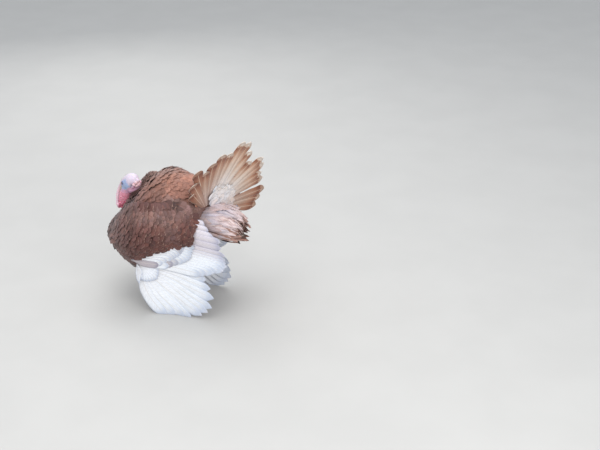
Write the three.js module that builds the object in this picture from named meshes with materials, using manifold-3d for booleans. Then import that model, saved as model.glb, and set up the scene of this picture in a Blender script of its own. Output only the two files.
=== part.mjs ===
// A strutting domestic turkey tom of a red-and-white heritage type, life size, as a still museum model.
//
// Units are millimetres. The bird faces -Y, its left side is +X and +Z is up. Its soles and the tips of its
// outer primaries rest on Z = 0. Each sub-part is one closed solid, trimmed against its neighbours so that
// a thin gap parts them. The outer surfaces are those of the plumage, out to the feather tips.

import * as THREE from 'three';
import { mergeVertices } from 'three/addons/utils/BufferGeometryUtils.js';
import Module from 'manifold-3d';

const wasm = await Module();
wasm.setup();

// ---------------------------------------------------------------- driving dimensions

const GAP = 0.35; // clearance between neighbouring solids
const SLIVER = 0.08; // edges shorter than this are closed up after a cut
const SIDES = [['left', 1], ['right', -1]];

const trunk = {
  centreY: 14, // middle of the puffed trunk, fore and aft
  halfLength: 271,
  // at five even stations from breast to rump:
  axis: [338, 378, 408, 435, 470], // height of the widest line
  rise: [132, 172, 244, 262, 292], // plumage above that line
  drop: [190, 244, 260, 240, 160], // plumage below it
  half: [165, 203, 212, 203, 160], // half width
};

// Each tube-like form has a centre line, and radii at even stations along it.
const neck = {
  path: [[0, -50, 350], [0, -76, 436], [-14, -44, 520], [-24, -16, 588]],
  radii: [125, 104, 84, 58],
};
const throat = {
  path: [[24, -129, 570], [16, -146, 534], [8, -162, 494], [2, -174, 458]],
  radii: [26, 28, 28, 24],
};

// The large caruncles lie in an arc round the foot of the throat.
const caruncles = {
  count: 4,
  radius: 11,
  arc: 2.1,
  middle: [0, -182, 459], // of the arc
  wide: 26,
  deep: 12,
  sag: 8,
};

const headPose = {
  centre: new THREE.Vector3(30, -119, 594),
  turn: THREE.MathUtils.degToRad(-20), // away to the bird's right
  nod: THREE.MathUtils.degToRad(34), // bill lowered
};

// These four are in the head's own frame, which faces -Y.
const skull = { front: -52, back: 64, halfWidth: 34, rise: 35, drop: 40, cheeks: 0.1 };
const eye = { radius: 7.5, out: 26.5, y: -13, z: 7 };
const bill = {
  upper: { path: [[0, -38, 2], [0, -60, 1], [0, -80, -5], [0, -91, -17]], root: 12 },
  lower: { path: [[0, -38, -14], [0, -58, -15], [0, -78, -16.5]], root: 9 },
  taper: 0.78, // share of the root's radius lost by the tip
};
const snood = {
  path: [[-2, -42, 18], [-9, -60, 18], [-6, -84, 4], [9, -112, -26], [22, -132, -68]],
  radii: [9, 8, 8, 8, 6],
};

const beard = {
  path: [[0, -232, 318], [0, -251, 292], [1, -250, 250], [2, -240, 205]],
  radii: [5, 8, 10, 7],
  flat: 0.6,
};

const wing = {
  wristY: -6,
  wristZ: 272,
  primaries: 10,
  firstDroop: THREE.MathUtils.degToRad(68), // tip of the outermost primary, below the horizontal
  bow: THREE.MathUtils.degToRad(24), // how much steeper the outermost primary leaves the wrist
  secondaries: 12,
  clearance: 5, // between the trunk's plumage and the wing
  straightFrom: 165, // behind here the wing runs straight back, clear of the narrowing rump
  hang: { front: 200, rear: 166 }, // how far out the free part of the wing hangs
  hangFade: { back: 180, up: 110 }, // lengths over which that eases backwards, and gives way upwards
  blend: 14, // how softly the wing passes from the trunk to where it hangs
  base: 12, // from the wrist to where the primaries begin
  secondaryBase: { y: [0, 50, 95, 135, 165], z: [282, 322, 356, 396, 466] },
  primaryOut: 1, // inner layer
  secondaryOut: 14, // outer layer, over the primaries
  shingle: 3, // step from one feather to the next
  primaryDepth: { root: 9, tip: 4.5 },
  secondaryDepth: { root: 8, tip: 5 },
};

// The feathered arm, from the shoulder to behind the elbow, at even stations.
const arm = {
  front: -158,
  rear: 262,
  lower: [398, 338, 324, 350, 376, 396, 430], // height of its lower edge
  upper: [450, 520, 556, 574, 580, 570, 520], // and of its upper edge
  edge: 9, // depth at its edges
  fullness: 24, // further depth in the middle
  lift: 23, // how far it stands out over the roots of the flight feathers
};

// The left wing is spread wider than the right. Each list has five even stations, outermost feather first.
const wingSpread = {
  left: {
    lastDroop: THREE.MathUtils.degToRad(6), // tip of the innermost primary, below the horizontal
    reach: [297, 350, 402, 398, 330], // wrist to tip of the primaries
    secondaryY: [300, 385, 440, 432, 402], // tips of the secondaries
    secondaryZ: [250, 274, 306, 358, 474],
  },
  right: {
    lastDroop: THREE.MathUtils.degToRad(22),
    reach: [300, 340, 376, 378, 322],
    secondaryY: [262, 300, 322, 336, 350],
    secondaryZ: [226, 256, 296, 350, 450],
  },
};

const tail = {
  root: new THREE.Vector3(0, 266, 486),
  lean: THREE.MathUtils.degToRad(24), // the fan leans back from the vertical
  yaw: THREE.MathUtils.degToRad(22), // and its rear face turns to the bird's left
  from: THREE.MathUtils.degToRad(-46), // edge of the fan on the bird's left
  to: THREE.MathUtils.degToRad(107), // edge on its right: the fan is tilted to the right
  feathers: 18,
  length: [252, 398, 396, 438, 372, 358, 336, 356, 345], // at even stations from left edge to right edge
  middle: 390, // the length at which the curl is reckoned
  cup: 26, // how far a feather of that length curls back
  start: 72, // from the root to where the fan's plate begins
  depth: { root: 16, tip: 4 },
  shingle: 4, // step from one feather to the next, at the tips
  // the block of coverts in front of it
  coverts: { reach: 0.6, start: 60, count: 9, root: 96, tip: 9, ahead: 27 },
};

const undertail = {
  path: [[0, 225, 440], [10, 300, 452], [18, 368, 444], [22, 416, 422]],
  radii: [72, 98, 97, 56],
  flat: 0.86,
};

const leg = {
  spread: 84, // half the distance between the feet
  footY: 120,
  thigh: { path: [[84, 104, 300], [88, 124, 240], [86, 152, 176]], radii: [66, 46, 15] },
  shank: { path: [[86, 158, 174], [85, 150, 110], [84, 126, 20]], radii: [12.5, 8.5, 9, 11] },
  spur: { path: [[84, 136, 62], [79, 154, 64], [76, 166, 72]], root: 6, taper: 0.75 },
  // height of a toe's centre line at shares of its length, and its radii at even stations
  toe: {
    shares: [0, 0.3, 0.6, 1],
    heights: [14, 9.4, 6.4, 5.2],
    hindHeight: 12, // of the hind toe's root
    radii: [10, 8, 7.4, 6.5, 6.2],
  },
  claw: { reach: [0, 10, 18, 23], heights: [8, 8, 5, 1.8], root: 4.2, taper: 0.72 },
};

// Each toe's splay outwards from straight ahead, in degrees, and its length to the claw.
const toes = [
  { name: 'middle', splay: 4, length: 96 },
  { name: 'inner', splay: -34, length: 76 },
  { name: 'outer', splay: 40, length: 80 },
  { name: 'hind', splay: 172, length: 52 },
];

const colours = {
  chestnut: 0x7a4634,
  rust: 0x9a5a3c,
  white: 0xe4e2e4,
  buff: 0xc9a184,
  paleSkin: 0xd9d6e2,
  redSkin: 0xc2435a,
  horn: 0xb9a68c,
  scale: 0xb48f86,
  black: 0x1d1715,
  claw: 0x4a3b33,
};

// ---------------------------------------------------------------- small tools

const { lerp, smoothstep, clamp } = THREE.MathUtils;

/** Smooth curve through values at even stations; t runs from 0 to 1. */
function along(values, t) {
  const last = values.length - 1;
  const x = clamp(t, 0, 1) * last;
  const i = Math.min(Math.floor(x), last - 1);
  const f = x - i;
  const at = (k) => values[clamp(k, 0, last)];
  const m0 = (at(i + 1) - at(i - 1)) / 2;
  const m1 = (at(i + 2) - at(i)) / 2;
  const f2 = f * f;
  const f3 = f2 * f;
  const ends = (2 * f3 - 3 * f2 + 1) * at(i) + (3 * f2 - 2 * f3) * at(i + 1);
  return ends + (f3 - 2 * f2 + f) * m0 + (f3 - f2) * m1;
}

const toVectors = (path) => path.map((p) => new THREE.Vector3(...p));

/** The same path on either side of the bird: 1 is its left. */
const onSide = (path, side) => path.map(([x, y, z]) => new THREE.Vector3(x * side, y, z));

/** A radius that narrows evenly to a tip, from its root's. */
const tapered = (root, taper, grow) => (t) => root * (1 - taper * t) + grow;

/** A closed mesh from points and triangles, turned so that its faces point out. */
function closedGeometry(points, triangles) {
  let volume = 0;
  for (const [a, b, c] of triangles) volume += points[a].dot(points[b].clone().cross(points[c]));
  const order = volume > 0 ? [0, 1, 2] : [0, 2, 1];
  const geometry = new THREE.BufferGeometry();
  const numbers = points.flatMap((p) => [p.x, p.y, p.z]);
  geometry.setAttribute('position', new THREE.Float32BufferAttribute(numbers, 3));
  geometry.setIndex(triangles.flatMap((t) => order.map((k) => t[k])));
  return geometry;
}

/** Rings of equal count joined end to end, closed by a pole at each end. */
function loft(rings, startPole, endPole) {
  const count = rings[0].length;
  const points = [...rings.flat(), startPole, endPole];
  const start = points.length - 2;
  const end = points.length - 1;
  const triangles = [];
  for (let j = 0; j < count; j++) {
    const k = (j + 1) % count;
    triangles.push([start, k, j]);
    for (let i = 0; i + 1 < rings.length; i++) {
      const a = i * count;
      const b = a + count;
      triangles.push([a + j, a + k, b + j], [a + k, b + k, b + j]);
    }
    const last = (rings.length - 1) * count;
    triangles.push([end, last + j, last + k]);
  }
  return closedGeometry(points, triangles);
}

/** A round-ended tube along points; radius(t) is its radius and flat squashes it across its second axis. */
function tube(points, radius, { rings = 12, sides = 10, flat = 1 } = {}) {
  const curve = new THREE.CatmullRomCurve3(points);
  const frames = curve.computeFrenetFrames(rings, false);
  const made = [];
  for (let i = 0; i <= rings; i++) {
    const t = i / rings;
    const centre = curve.getPointAt(t);
    const r = radius(t);
    made.push(Array.from({ length: sides }, (_, j) => {
      const a = (2 * Math.PI * j) / sides;
      return centre.clone()
        .addScaledVector(frames.normals[i], r * Math.cos(a))
        .addScaledVector(frames.binormals[i], r * flat * Math.sin(a));
    }));
  }
  const dome = 0.7;
  const cap = (t, sign) => {
    return curve.getPointAt(t).addScaledVector(curve.getTangentAt(t), sign * radius(t) * dome);
  };
  return loft(made, cap(0, -1), cap(1, 1));
}

/** A plate over a grid: surface(u, v) is its middle and thickness(u, v) its depth along the normal. */
function plate(nu, nv, surface, thickness) {
  const points = [];
  const step = 1e-3;
  for (const side of [-0.5, 0.5]) {
    for (let i = 0; i <= nu; i++) {
      for (let j = 0; j <= nv; j++) {
        const u = i / nu;
        const v = j / nv;
        const du = surface(Math.min(1, u + step), v).sub(surface(Math.max(0, u - step), v));
        const dv = surface(u, Math.min(1, v + step)).sub(surface(u, Math.max(0, v - step)));
        const normal = du.cross(dv).normalize();
        points.push(surface(u, v).addScaledVector(normal, side * thickness(u, v)));
      }
    }
  }
  const half = points.length / 2;
  const at = (layer, i, j) => layer * half + i * (nv + 1) + j;
  const triangles = [];
  const quad = (a, b, c, d) => triangles.push([a, b, c], [a, c, d]);
  for (let i = 0; i < nu; i++) {
    for (let j = 0; j < nv; j++) {
      quad(at(1, i, j), at(1, i + 1, j), at(1, i + 1, j + 1), at(1, i, j + 1));
      quad(at(0, i, j), at(0, i, j + 1), at(0, i + 1, j + 1), at(0, i + 1, j));
    }
  }
  for (let i = 0; i < nu; i++) {
    quad(at(0, i, 0), at(0, i + 1, 0), at(1, i + 1, 0), at(1, i, 0));
    quad(at(0, i + 1, nv), at(0, i, nv), at(1, i, nv), at(1, i + 1, nv));
  }
  for (let j = 0; j < nv; j++) {
    quad(at(0, 0, j + 1), at(0, 0, j), at(1, 0, j), at(1, 0, j + 1));
    quad(at(0, nu, j), at(0, nu, j + 1), at(1, nu, j + 1), at(1, nu, j));
  }
  return closedGeometry(points, triangles);
}

/** Geometry to solid. */
function solid(geometry) {
  return new wasm.Manifold(new wasm.Mesh({
    numProp: 3,
    vertProperties: new Float32Array(geometry.getAttribute('position').array),
    triVerts: new Uint32Array(geometry.getIndex().array),
  }));
}

/** The largest piece of a solid, so that a cut leaves no crumbs. */
function largest(shape) {
  return shape.decompose().reduce((a, b) => (b.volume() > a.volume() ? b : a));
}

/** Cuts away what lies under the floor, so that a part stands on a flat. */
function onFloor(shape) {
  const size = 2000;
  const slab = weld(new THREE.BoxGeometry(size, size, size)).translate(0, 0, -size / 2);
  return largest(shape.subtract(solid(slab)));
}

/** Merges the corners that share a place. */
function weld(geometry) {
  geometry.deleteAttribute('normal');
  geometry.deleteAttribute('uv');
  return mergeVertices(geometry);
}

const model = new THREE.Group();
const placed = [];

/**
 * Adds a named sub-part. make(grow) gives its solid, swollen by grow; it gives way to every sub-part placed
 * before it, with a thin gap.
 */
function place(name, make, color, roughness = 0.8) {
  const shape = largest(placed.reduce((rest, other) => rest.subtract(other), make(0)).simplify(SLIVER));
  placed.push(make(GAP));
  const { vertProperties, triVerts } = shape.getMesh();
  const geometry = new THREE.BufferGeometry();
  geometry.setAttribute('position', new THREE.BufferAttribute(new Float32Array(vertProperties), 3));
  geometry.setIndex(new THREE.BufferAttribute(new Uint32Array(triVerts), 1));
  geometry.computeVertexNormals();
  const mesh = new THREE.Mesh(geometry, new THREE.MeshStandardMaterial({ color, roughness, metalness: 0 }));
  mesh.name = name;
  model.add(mesh);
}

// ---------------------------------------------------------------- trunk

/** Height of the widest line, rise, drop and half width of the trunk at a fore-and-aft place. */
function trunkSection(y) {
  const s = clamp((y - trunk.centreY) / trunk.halfLength, -1, 1);
  const round = Math.sqrt(Math.max(0, 1 - s * s));
  const t = (s + 1) / 2;
  return {
    axis: along(trunk.axis, t),
    rise: round * along(trunk.rise, t),
    drop: round * along(trunk.drop, t),
    half: round * along(trunk.half, t),
  };
}

function makeTrunk(grow = 0) {
  const rings = [];
  const stations = 14;
  const around = 18;
  for (let i = 1; i < stations; i++) {
    const y = trunk.centreY - trunk.halfLength * Math.cos((Math.PI * i) / stations);
    const { axis, rise, drop, half } = trunkSection(y);
    rings.push(Array.from({ length: around }, (_, j) => {
      const a = (2 * Math.PI * j) / around;
      const lift = Math.sin(a) > 0 ? rise : drop;
      return new THREE.Vector3((half + grow) * Math.cos(a), y, axis + (lift + grow) * Math.sin(a));
    }));
  }
  const ends = [-1, 1].map((sign) => {
    const y = trunk.centreY + sign * (trunk.halfLength + grow);
    return new THREE.Vector3(0, y, trunkSection(y).axis);
  });
  return solid(loft(rings, ends[0], ends[1]));
}

// ---------------------------------------------------------------- neck and throat

/** The feathered neck, drawn back into the shoulders, with its ruff raised. */
function makeNeck(grow = 0) {
  return solid(tube(toVectors(neck.path), (t) => along(neck.radii, t) + grow, { rings: 5, sides: 12 }));
}

/** The bare throat in front of the neck, from the jaw down to the breast. */
function makeThroat(grow = 0) {
  return solid(tube(toVectors(throat.path), (t) => along(throat.radii, t) + grow, { rings: 5, sides: 9 }));
}

/** The cluster of large caruncles at the foot of the throat. */
function makeCaruncles(grow = 0) {
  const { count, radius, arc, middle, wide, deep, sag } = caruncles;
  const shapes = Array.from({ length: count }, (_, i) => {
    const a = (i / (count - 1) - 0.5) * arc;
    const ball = weld(new THREE.SphereGeometry(radius + grow, 7, 4));
    const [x, y, z] = middle;
    return solid(ball.translate(x + wide * Math.sin(a), y - deep * Math.cos(a), z - sag * Math.cos(2 * a)));
  });
  return shapes.reduce((a, b) => a.add(b));
}

// ---------------------------------------------------------------- head

const headMatrix = new THREE.Matrix4()
  .makeRotationZ(headPose.turn)
  .multiply(new THREE.Matrix4().makeRotationX(headPose.nod))
  .setPosition(headPose.centre);

/** A point of the head's own frame, which faces -Y, put in its place on the bird. */
const onHead = (x, y, z) => new THREE.Vector3(x, y, z).applyMatrix4(headMatrix);

function makeHead(grow = 0) {
  const stations = 8;
  const around = 14;
  const middle = (skull.front + skull.back) / 2;
  const length = (skull.back - skull.front) / 2 + grow;
  const rings = [];
  for (let i = 1; i < stations; i++) {
    const c = Math.cos((Math.PI * i) / stations);
    const round = Math.sqrt(1 - c * c);
    const cheek = 1 + skull.cheeks * c;
    rings.push(Array.from({ length: around }, (_, j) => {
      const a = (2 * Math.PI * j) / around;
      const lift = Math.sin(a) > 0 ? skull.rise : skull.drop;
      const x = (skull.halfWidth + grow) * round * Math.cos(a) / cheek;
      const z = (lift + grow) * round * Math.sin(a) / cheek;
      return onHead(x, middle - length * c, z);
    }));
  }
  return solid(loft(rings, onHead(0, middle - length, 0), onHead(0, middle + length, 0)));
}

/** One half of the bill: the hooked upper half or the shorter lower one. */
function makeBill({ path, root }, grow = 0) {
  const points = path.map((p) => onHead(...p));
  return solid(tube(points, tapered(root, bill.taper, grow), { rings: 5, sides: 7 }));
}

/** The snood: a fleshy finger from the forehead, hanging down over the right side of the bill. */
function makeSnood(grow = 0) {
  const points = snood.path.map((p) => onHead(...p));
  return solid(tube(points, (t) => along(snood.radii, t) + grow, { rings: 7, sides: 7 }));
}

function makeEye(side, grow = 0) {
  const ball = weld(new THREE.SphereGeometry(eye.radius + grow, 8, 5));
  return solid(ball.translate(...onHead(side * eye.out, eye.y, eye.z).toArray()));
}

// ---------------------------------------------------------------- tail

const tailBack = new THREE.Vector3(
  Math.sin(tail.yaw) * Math.cos(tail.lean), Math.cos(tail.yaw) * Math.cos(tail.lean), -Math.sin(tail.lean));
const tailRight = new THREE.Vector3(-Math.cos(tail.yaw), Math.sin(tail.yaw), 0);
const tailUp = tailRight.clone().cross(tailBack).negate();

/** A point of the cupped fan: share across from left to right, distance from the root, offset backwards. */
function fanPoint(across, distance, offset = 0) {
  const angle = lerp(tail.from, tail.to, across);
  const curl = tail.cup * (distance / tail.middle) ** 2;
  return tail.root.clone()
    .addScaledVector(tailUp, distance * Math.cos(angle))
    .addScaledVector(tailRight, distance * Math.sin(angle))
    .addScaledVector(tailBack, curl + offset);
}

/** Scalloped edge of a row of feathers: 1 at each tip, less between the tips. */
function scallop(u, count, depth) {
  const f = (u * count) % 1;
  return 1 - depth * Math.abs(2 * f - 1) ** 2.2;
}

/** Shingled face of a row of feathers: each one slopes under the next by the given step. */
const shingle = (u, count, step) => step * (((u * count) % 1) - 0.5);

function makeRectrices(grow = 0) {
  const perFeather = 3;
  const { root, tip } = tail.depth;
  const surface = (u, v) => {
    const distance = lerp(tail.start, along(tail.length, u) * scallop(u, tail.feathers, 0.07), v);
    return fanPoint(u, distance, shingle(u, tail.feathers, tail.shingle * v));
  };
  const depth = (u, v) => lerp(root, tip, Math.sqrt(v)) + 2 * grow;
  return solid(plate(tail.feathers * perFeather, 2, surface, depth));
}

/** The rows of shorter feathers that stand in front of the fan. */
function makeTailCoverts(grow = 0) {
  const { reach, start, count, root, tip, ahead } = tail.coverts;
  const depth = (v) => lerp(root, tip, v ** 0.7);
  const surface = (u, v) => {
    const distance = lerp(start, reach * along(tail.length, u) * scallop(u, count, 0.08), v);
    return fanPoint(u, distance, -depth(v) / 2 - ahead);
  };
  return solid(plate(count * 2, 2, surface, (u, v) => depth(v) + 2 * grow));
}

/** The fluffy feathers under the tail, which hang over the fan's root from behind. */
function makeUndertail(grow = 0) {
  const { path, radii, flat } = undertail;
  return solid(tube(toVectors(path), (t) => along(radii, t) + grow, { rings: 6, sides: 13, flat }));
}

// ---------------------------------------------------------------- wings

/** The larger of two lengths, blended where they are nearly the same. */
const softMax = (a, b, blend) => (a + b + Math.hypot(a - b, blend)) / 2;

/** How far out the wing lies at a fore-and-aft place and height. */
function wingOut(y, z) {
  const { axis, rise, drop, half } = trunkSection(Math.min(y, wing.straightFrom));
  const over = clamp((z - axis) / (z > axis ? rise : drop), -1, 0.98);
  const plumage = half * Math.sqrt(1 - over * over);
  const hang = lerp(wing.hang.front, wing.hang.rear, smoothstep(y, 0, wing.hangFade.back));
  const fade = 1 - smoothstep(z - axis, 0, wing.hangFade.up);
  return softMax(plumage + wing.clearance, hang * fade, wing.blend);
}

const onWing = (side, y, z, out = 0) => new THREE.Vector3(side * (wingOut(y, z) + out), y, z);

function makePrimaries(side, spread, grow = 0) {
  const perFeather = 3;
  const { root, tip } = wing.primaryDepth;
  const surface = (u, v) => {
    const bow = wing.bow * (1 - u) * (1 - v);
    const droop = lerp(wing.firstDroop, spread.lastDroop, u) + bow;
    const distance = lerp(wing.base, along(spread.reach, u) * scallop(u, wing.primaries, 0.07), v);
    const y = wing.wristY + distance * Math.cos(droop);
    const z = wing.wristZ - distance * Math.sin(droop);
    return onWing(side, y, z, wing.primaryOut + shingle(u, wing.primaries, wing.shingle));
  };
  return solid(plate(wing.primaries * perFeather, 3, surface, (u, v) => lerp(root, tip, v) + 2 * grow));
}

/** The panel of secondaries, from the wrist to the elbow, lying over the innermost primaries. */
function makeSecondaries(side, spread, grow = 0) {
  const { root, tip } = wing.secondaryDepth;
  const surface = (u, v) => {
    const share = v * scallop(u, wing.secondaries, 0.06);
    const y = lerp(along(wing.secondaryBase.y, u), along(spread.secondaryY, u), share);
    const z = lerp(along(wing.secondaryBase.z, u), along(spread.secondaryZ, u), share);
    return onWing(side, y, z, wing.secondaryOut + shingle(u, wing.secondaries, wing.shingle));
  };
  return solid(plate(wing.secondaries * 2, 2, surface, (u, v) => lerp(root, tip, v) + 2 * grow));
}

/** The feathered arm: shoulder, forearm and their small coverts, lying over the side of the trunk. */
function makeArm(side, grow = 0) {
  const depth = (u, v) => arm.edge + arm.fullness * Math.sin(Math.PI * u) * Math.sin(Math.PI * v);
  const surface = (u, v) => {
    const y = lerp(arm.front - grow, arm.rear + grow, u);
    const z = lerp(along(arm.lower, u) - grow, along(arm.upper, u) + grow, v);
    const lift = arm.lift * smoothstep(u, 0, 0.3) * (1 - smoothstep(v, 0.3, 0.95));
    return onWing(side, y, z, lift + depth(u, v) / 2);
  };
  return solid(plate(12, 5, surface, (u, v) => depth(u, v) + 2 * grow));
}

// ---------------------------------------------------------------- legs

function makeThigh(side, grow = 0) {
  const { path, radii } = leg.thigh;
  return solid(tube(onSide(path, side), (t) => along(radii, t) + grow, { rings: 8, sides: 14 }));
}

/** The scaled shank, from the hock down to the foot. */
function makeShank(side, grow = 0) {
  const { path, radii } = leg.shank;
  return solid(tube(onSide(path, side), (t) => along(radii, t) + grow, { rings: 5, sides: 8 }));
}

/** Centre line of a toe, on the ground, from under the shank to the claw's root. */
function toePath(toe, side) {
  const a = THREE.MathUtils.degToRad(toe.splay);
  const { shares, heights, hindHeight } = leg.toe;
  return shares.map((share, i) => {
    const x = leg.spread + toe.length * share * Math.sin(a);
    const y = leg.footY - toe.length * share * Math.cos(a);
    const z = i === 0 && toe.name === 'hind' ? hindHeight : heights[i];
    return new THREE.Vector3(side * x, y, z);
  });
}

function makeFoot(side, grow = 0) {
  const radius = (t) => along(leg.toe.radii, t) + grow;
  const shapes = toes.map((toe) => solid(tube(toePath(toe, side), radius, { rings: 4, sides: 6 })));
  return shapes.reduce((a, b) => a.add(b));
}

function makeClaw(toe, side, grow = 0) {
  const path = toePath(toe, side);
  const tip = path[path.length - 1];
  const ahead = tip.clone().sub(path[path.length - 2]).setZ(0).normalize();
  const { reach, heights, root, taper } = leg.claw;
  const points = reach.map((r, i) => tip.clone().addScaledVector(ahead, r).setZ(heights[i]));
  return solid(tube(points, tapered(root, taper, grow), { rings: 2, sides: 6 }));
}

function makeSpur(side, grow = 0) {
  const { path, root, taper } = leg.spur;
  return solid(tube(onSide(path, side), tapered(root, taper, grow), { rings: 5, sides: 8 }));
}

/** The beard: a tassel of bristles from the middle of the breast. */
function makeBeard(grow = 0) {
  const { path, radii, flat } = beard;
  return solid(tube(toVectors(path), (t) => along(radii, t) + grow, { rings: 7, sides: 8, flat }));
}

// ---------------------------------------------------------------- assembly

for (const [label, side] of SIDES) place(`eye_${label}`, (grow) => makeEye(side, grow), colours.black, 0.1);
place('bill_upper', (grow) => makeBill(bill.upper, grow), colours.horn, 0.4);
place('bill_lower', (grow) => makeBill(bill.lower, grow), colours.horn, 0.4);
place('snood', makeSnood, colours.redSkin, 0.5);
place('head', makeHead, colours.paleSkin, 0.55);
place('throat', makeThroat, colours.redSkin, 0.55);
place('caruncles', makeCaruncles, colours.redSkin, 0.55);
place('trunk', makeTrunk, colours.chestnut);
place('neck', makeNeck, colours.chestnut);
place('beard', makeBeard, colours.black);
place('undertail_coverts', makeUndertail, colours.buff);
place('tail_rectrices', makeRectrices, colours.buff);
place('tail_coverts', makeTailCoverts, colours.rust);

for (const [label, side] of SIDES) {
  const spread = wingSpread[label];
  place(`wing_${label}_arm`, (grow) => makeArm(side, grow), colours.chestnut);
  place(`wing_${label}_secondaries`, (grow) => makeSecondaries(side, spread, grow), colours.white);
  place(`wing_${label}_primaries`, (grow) => onFloor(makePrimaries(side, spread, grow)), colours.white);
  place(`thigh_${label}`, (grow) => makeThigh(side, grow), colours.chestnut);
  place(`foot_${label}`, (grow) => onFloor(makeFoot(side, grow)), colours.scale, 0.6);
  place(`shank_${label}`, (grow) => makeShank(side, grow), colours.scale, 0.6);
  place(`spur_${label}`, (grow) => makeSpur(side, grow), colours.claw, 0.5);
  for (const toe of toes) {
    place(`claw_${label}_${toe.name}`, (grow) => onFloor(makeClaw(toe, side, grow)), colours.claw, 0.5);
  }
}

const box = new THREE.Box3().setFromObject(model);
const middle = box.getCenter(new THREE.Vector3());
model.position.set(-middle.x, -middle.y, -box.min.z);

export default model;
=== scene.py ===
"""A strutting domestic turkey tom, life size: skin, plumage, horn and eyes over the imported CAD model.

Lengths are millimetres in the bird's own frame, which faces -Y with its left side at +X and the floor at
Z = 0. to_scene() turns them into the frame's metres. Every surface is worked out as whole numpy arrays.
"""

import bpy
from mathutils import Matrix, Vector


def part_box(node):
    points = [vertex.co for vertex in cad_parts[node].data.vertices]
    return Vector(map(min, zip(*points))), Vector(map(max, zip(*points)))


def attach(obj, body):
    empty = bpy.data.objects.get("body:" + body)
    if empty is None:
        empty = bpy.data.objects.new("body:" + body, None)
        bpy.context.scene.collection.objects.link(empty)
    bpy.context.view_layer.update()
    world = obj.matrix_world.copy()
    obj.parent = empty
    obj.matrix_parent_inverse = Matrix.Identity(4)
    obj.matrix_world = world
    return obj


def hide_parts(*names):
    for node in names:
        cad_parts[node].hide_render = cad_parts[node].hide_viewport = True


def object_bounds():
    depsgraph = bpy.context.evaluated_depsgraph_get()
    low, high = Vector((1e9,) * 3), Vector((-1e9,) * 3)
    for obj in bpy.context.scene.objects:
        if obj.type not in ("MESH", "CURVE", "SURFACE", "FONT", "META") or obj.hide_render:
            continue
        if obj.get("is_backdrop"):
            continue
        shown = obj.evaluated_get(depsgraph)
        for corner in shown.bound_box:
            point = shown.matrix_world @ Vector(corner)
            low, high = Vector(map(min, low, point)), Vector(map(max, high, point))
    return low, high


bl_info = {
    "name": "Strutting turkey",
    "version": (1, 0, 0),
    "blender": (4, 5, 0),
    "location": "3D View > Sidebar > Turkey",
    "description": "Builds the skin, feathers, bill, eyes, beard and claws of a strutting turkey",
    "category": "Add Mesh",
}

import math

import bpy
import numpy as np
from mathutils import Matrix, Vector
from mathutils.bvhtree import BVHTree

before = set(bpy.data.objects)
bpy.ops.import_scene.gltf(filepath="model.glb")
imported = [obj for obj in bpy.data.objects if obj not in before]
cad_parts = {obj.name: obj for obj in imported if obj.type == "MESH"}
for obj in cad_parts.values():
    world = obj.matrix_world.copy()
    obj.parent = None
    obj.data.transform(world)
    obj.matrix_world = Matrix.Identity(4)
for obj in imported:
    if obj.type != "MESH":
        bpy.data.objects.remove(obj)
CAD_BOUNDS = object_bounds()

MM = 0.001
GOLDEN = math.pi * (3 - math.sqrt(5))
SIDES = (("left", 1), ("right", -1))
MAP = "OFBake"
PATCH = 0.003  # side of a small feather's patch on the map
STEP = 1e-3  # share of a surface's length over which its slope is taken
FLOOR_GAP = 0.0002  # metres that everything stays above the floor
DOME = 0.7  # how far a pipe's rounded end stands out, as a share of its radius

# ------------------------------------------------------------------ the bird's own measures

TRUNK_MIDDLE, TRUNK_HALF = 14, 271
TRUNK_HEART = np.array([0, TRUNK_MIDDLE, 410])
TRUNK_AXIS = [338, 378, 408, 435, 470]
TRUNK_RISE = [132, 172, 244, 262, 292]
TRUNK_DROP = [190, 244, 260, 240, 160]
TRUNK_WIDE = [165, 203, 212, 203, 160]

NECK_PATH = [[0, -50, 350], [0, -76, 436], [-14, -44, 520], [-24, -16, 588]]
NECK_RADII = [125, 104, 84, 58]
THROAT_PATH = [[24, -129, 570], [16, -146, 534], [8, -162, 494], [2, -174, 458]]
THROAT_RADII = [26, 28, 28, 24]
NAPE_PATH = [[28, -104, 574], [8, -66, 552]]
NAPE_RADII = [33, 44]
TAIL_ROOT_PATH = [[0, 170, 430], [2, 225, 465], [6, 275, 490]]
TAIL_ROOT_RADII = [90, 66, 40]
UNDERTAIL_PATH = [[0, 225, 440], [10, 300, 452], [18, 368, 444], [22, 416, 422]]
UNDERTAIL_RADII = [72, 98, 97, 56]
THIGH_PATH = [[84, 104, 300], [88, 124, 240], [86, 152, 176]]
THIGH_FLESH_RADII = [56, 37, 11.5]
SHANK_PATH = [[86, 158, 174], [85, 150, 110], [84, 126, 20]]
SHANK_RADII = [12.5, 8.5, 9, 11]
BEARD_PATH = [[0, -232, 318], [0, -251, 292], [1, -250, 250], [2, -240, 205]]
SNOOD_PATH = [[-2, -42, 18], [-9, -60, 18], [-6, -84, 4], [9, -112, -26], [22, -132, -68]]
SNOOD_RADII = [9, 8, 8, 8, 6]
SPUR_PATH = [[84, 136, 62], [79, 154, 64], [76, 166, 72]]

HEAD_CENTRE = np.array([30.0, -119.0, 594.0])
NAPE = np.array([18.0, -120.0, 590.0])  # the place that the coat's feathers lie away from
HEAD_TURN, HEAD_NOD = math.radians(-20), math.radians(34)
SKULL = dict(front=-52, back=64, wide=34, rise=35, drop=40)
SKIN_MIDDLE, SKIN_HALF = 5, 59  # fore and aft, of the egg that the head's skin follows
EYE = np.array([26.5, -13.0, 7.0])
EYE_RADIUS = 7.5
LID_LONG, LID_HIGH = 1.16, 0.92  # the lids' shape against a circle
# place and radius of each lump, in the head's frame
NAPE_LUMPS = [
    [-4, 59, -14, 8],
    [10, 57, -20, 6.5],
    [20, 48, -26, 6],
    [-18, 50, -24, 7],
    [-6, 50, -31, 7.5],
    [8, 48, -36, 6.5],
    [22, 36, -34, 5.5],
    [-22, 36, -34, 6],
]
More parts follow.
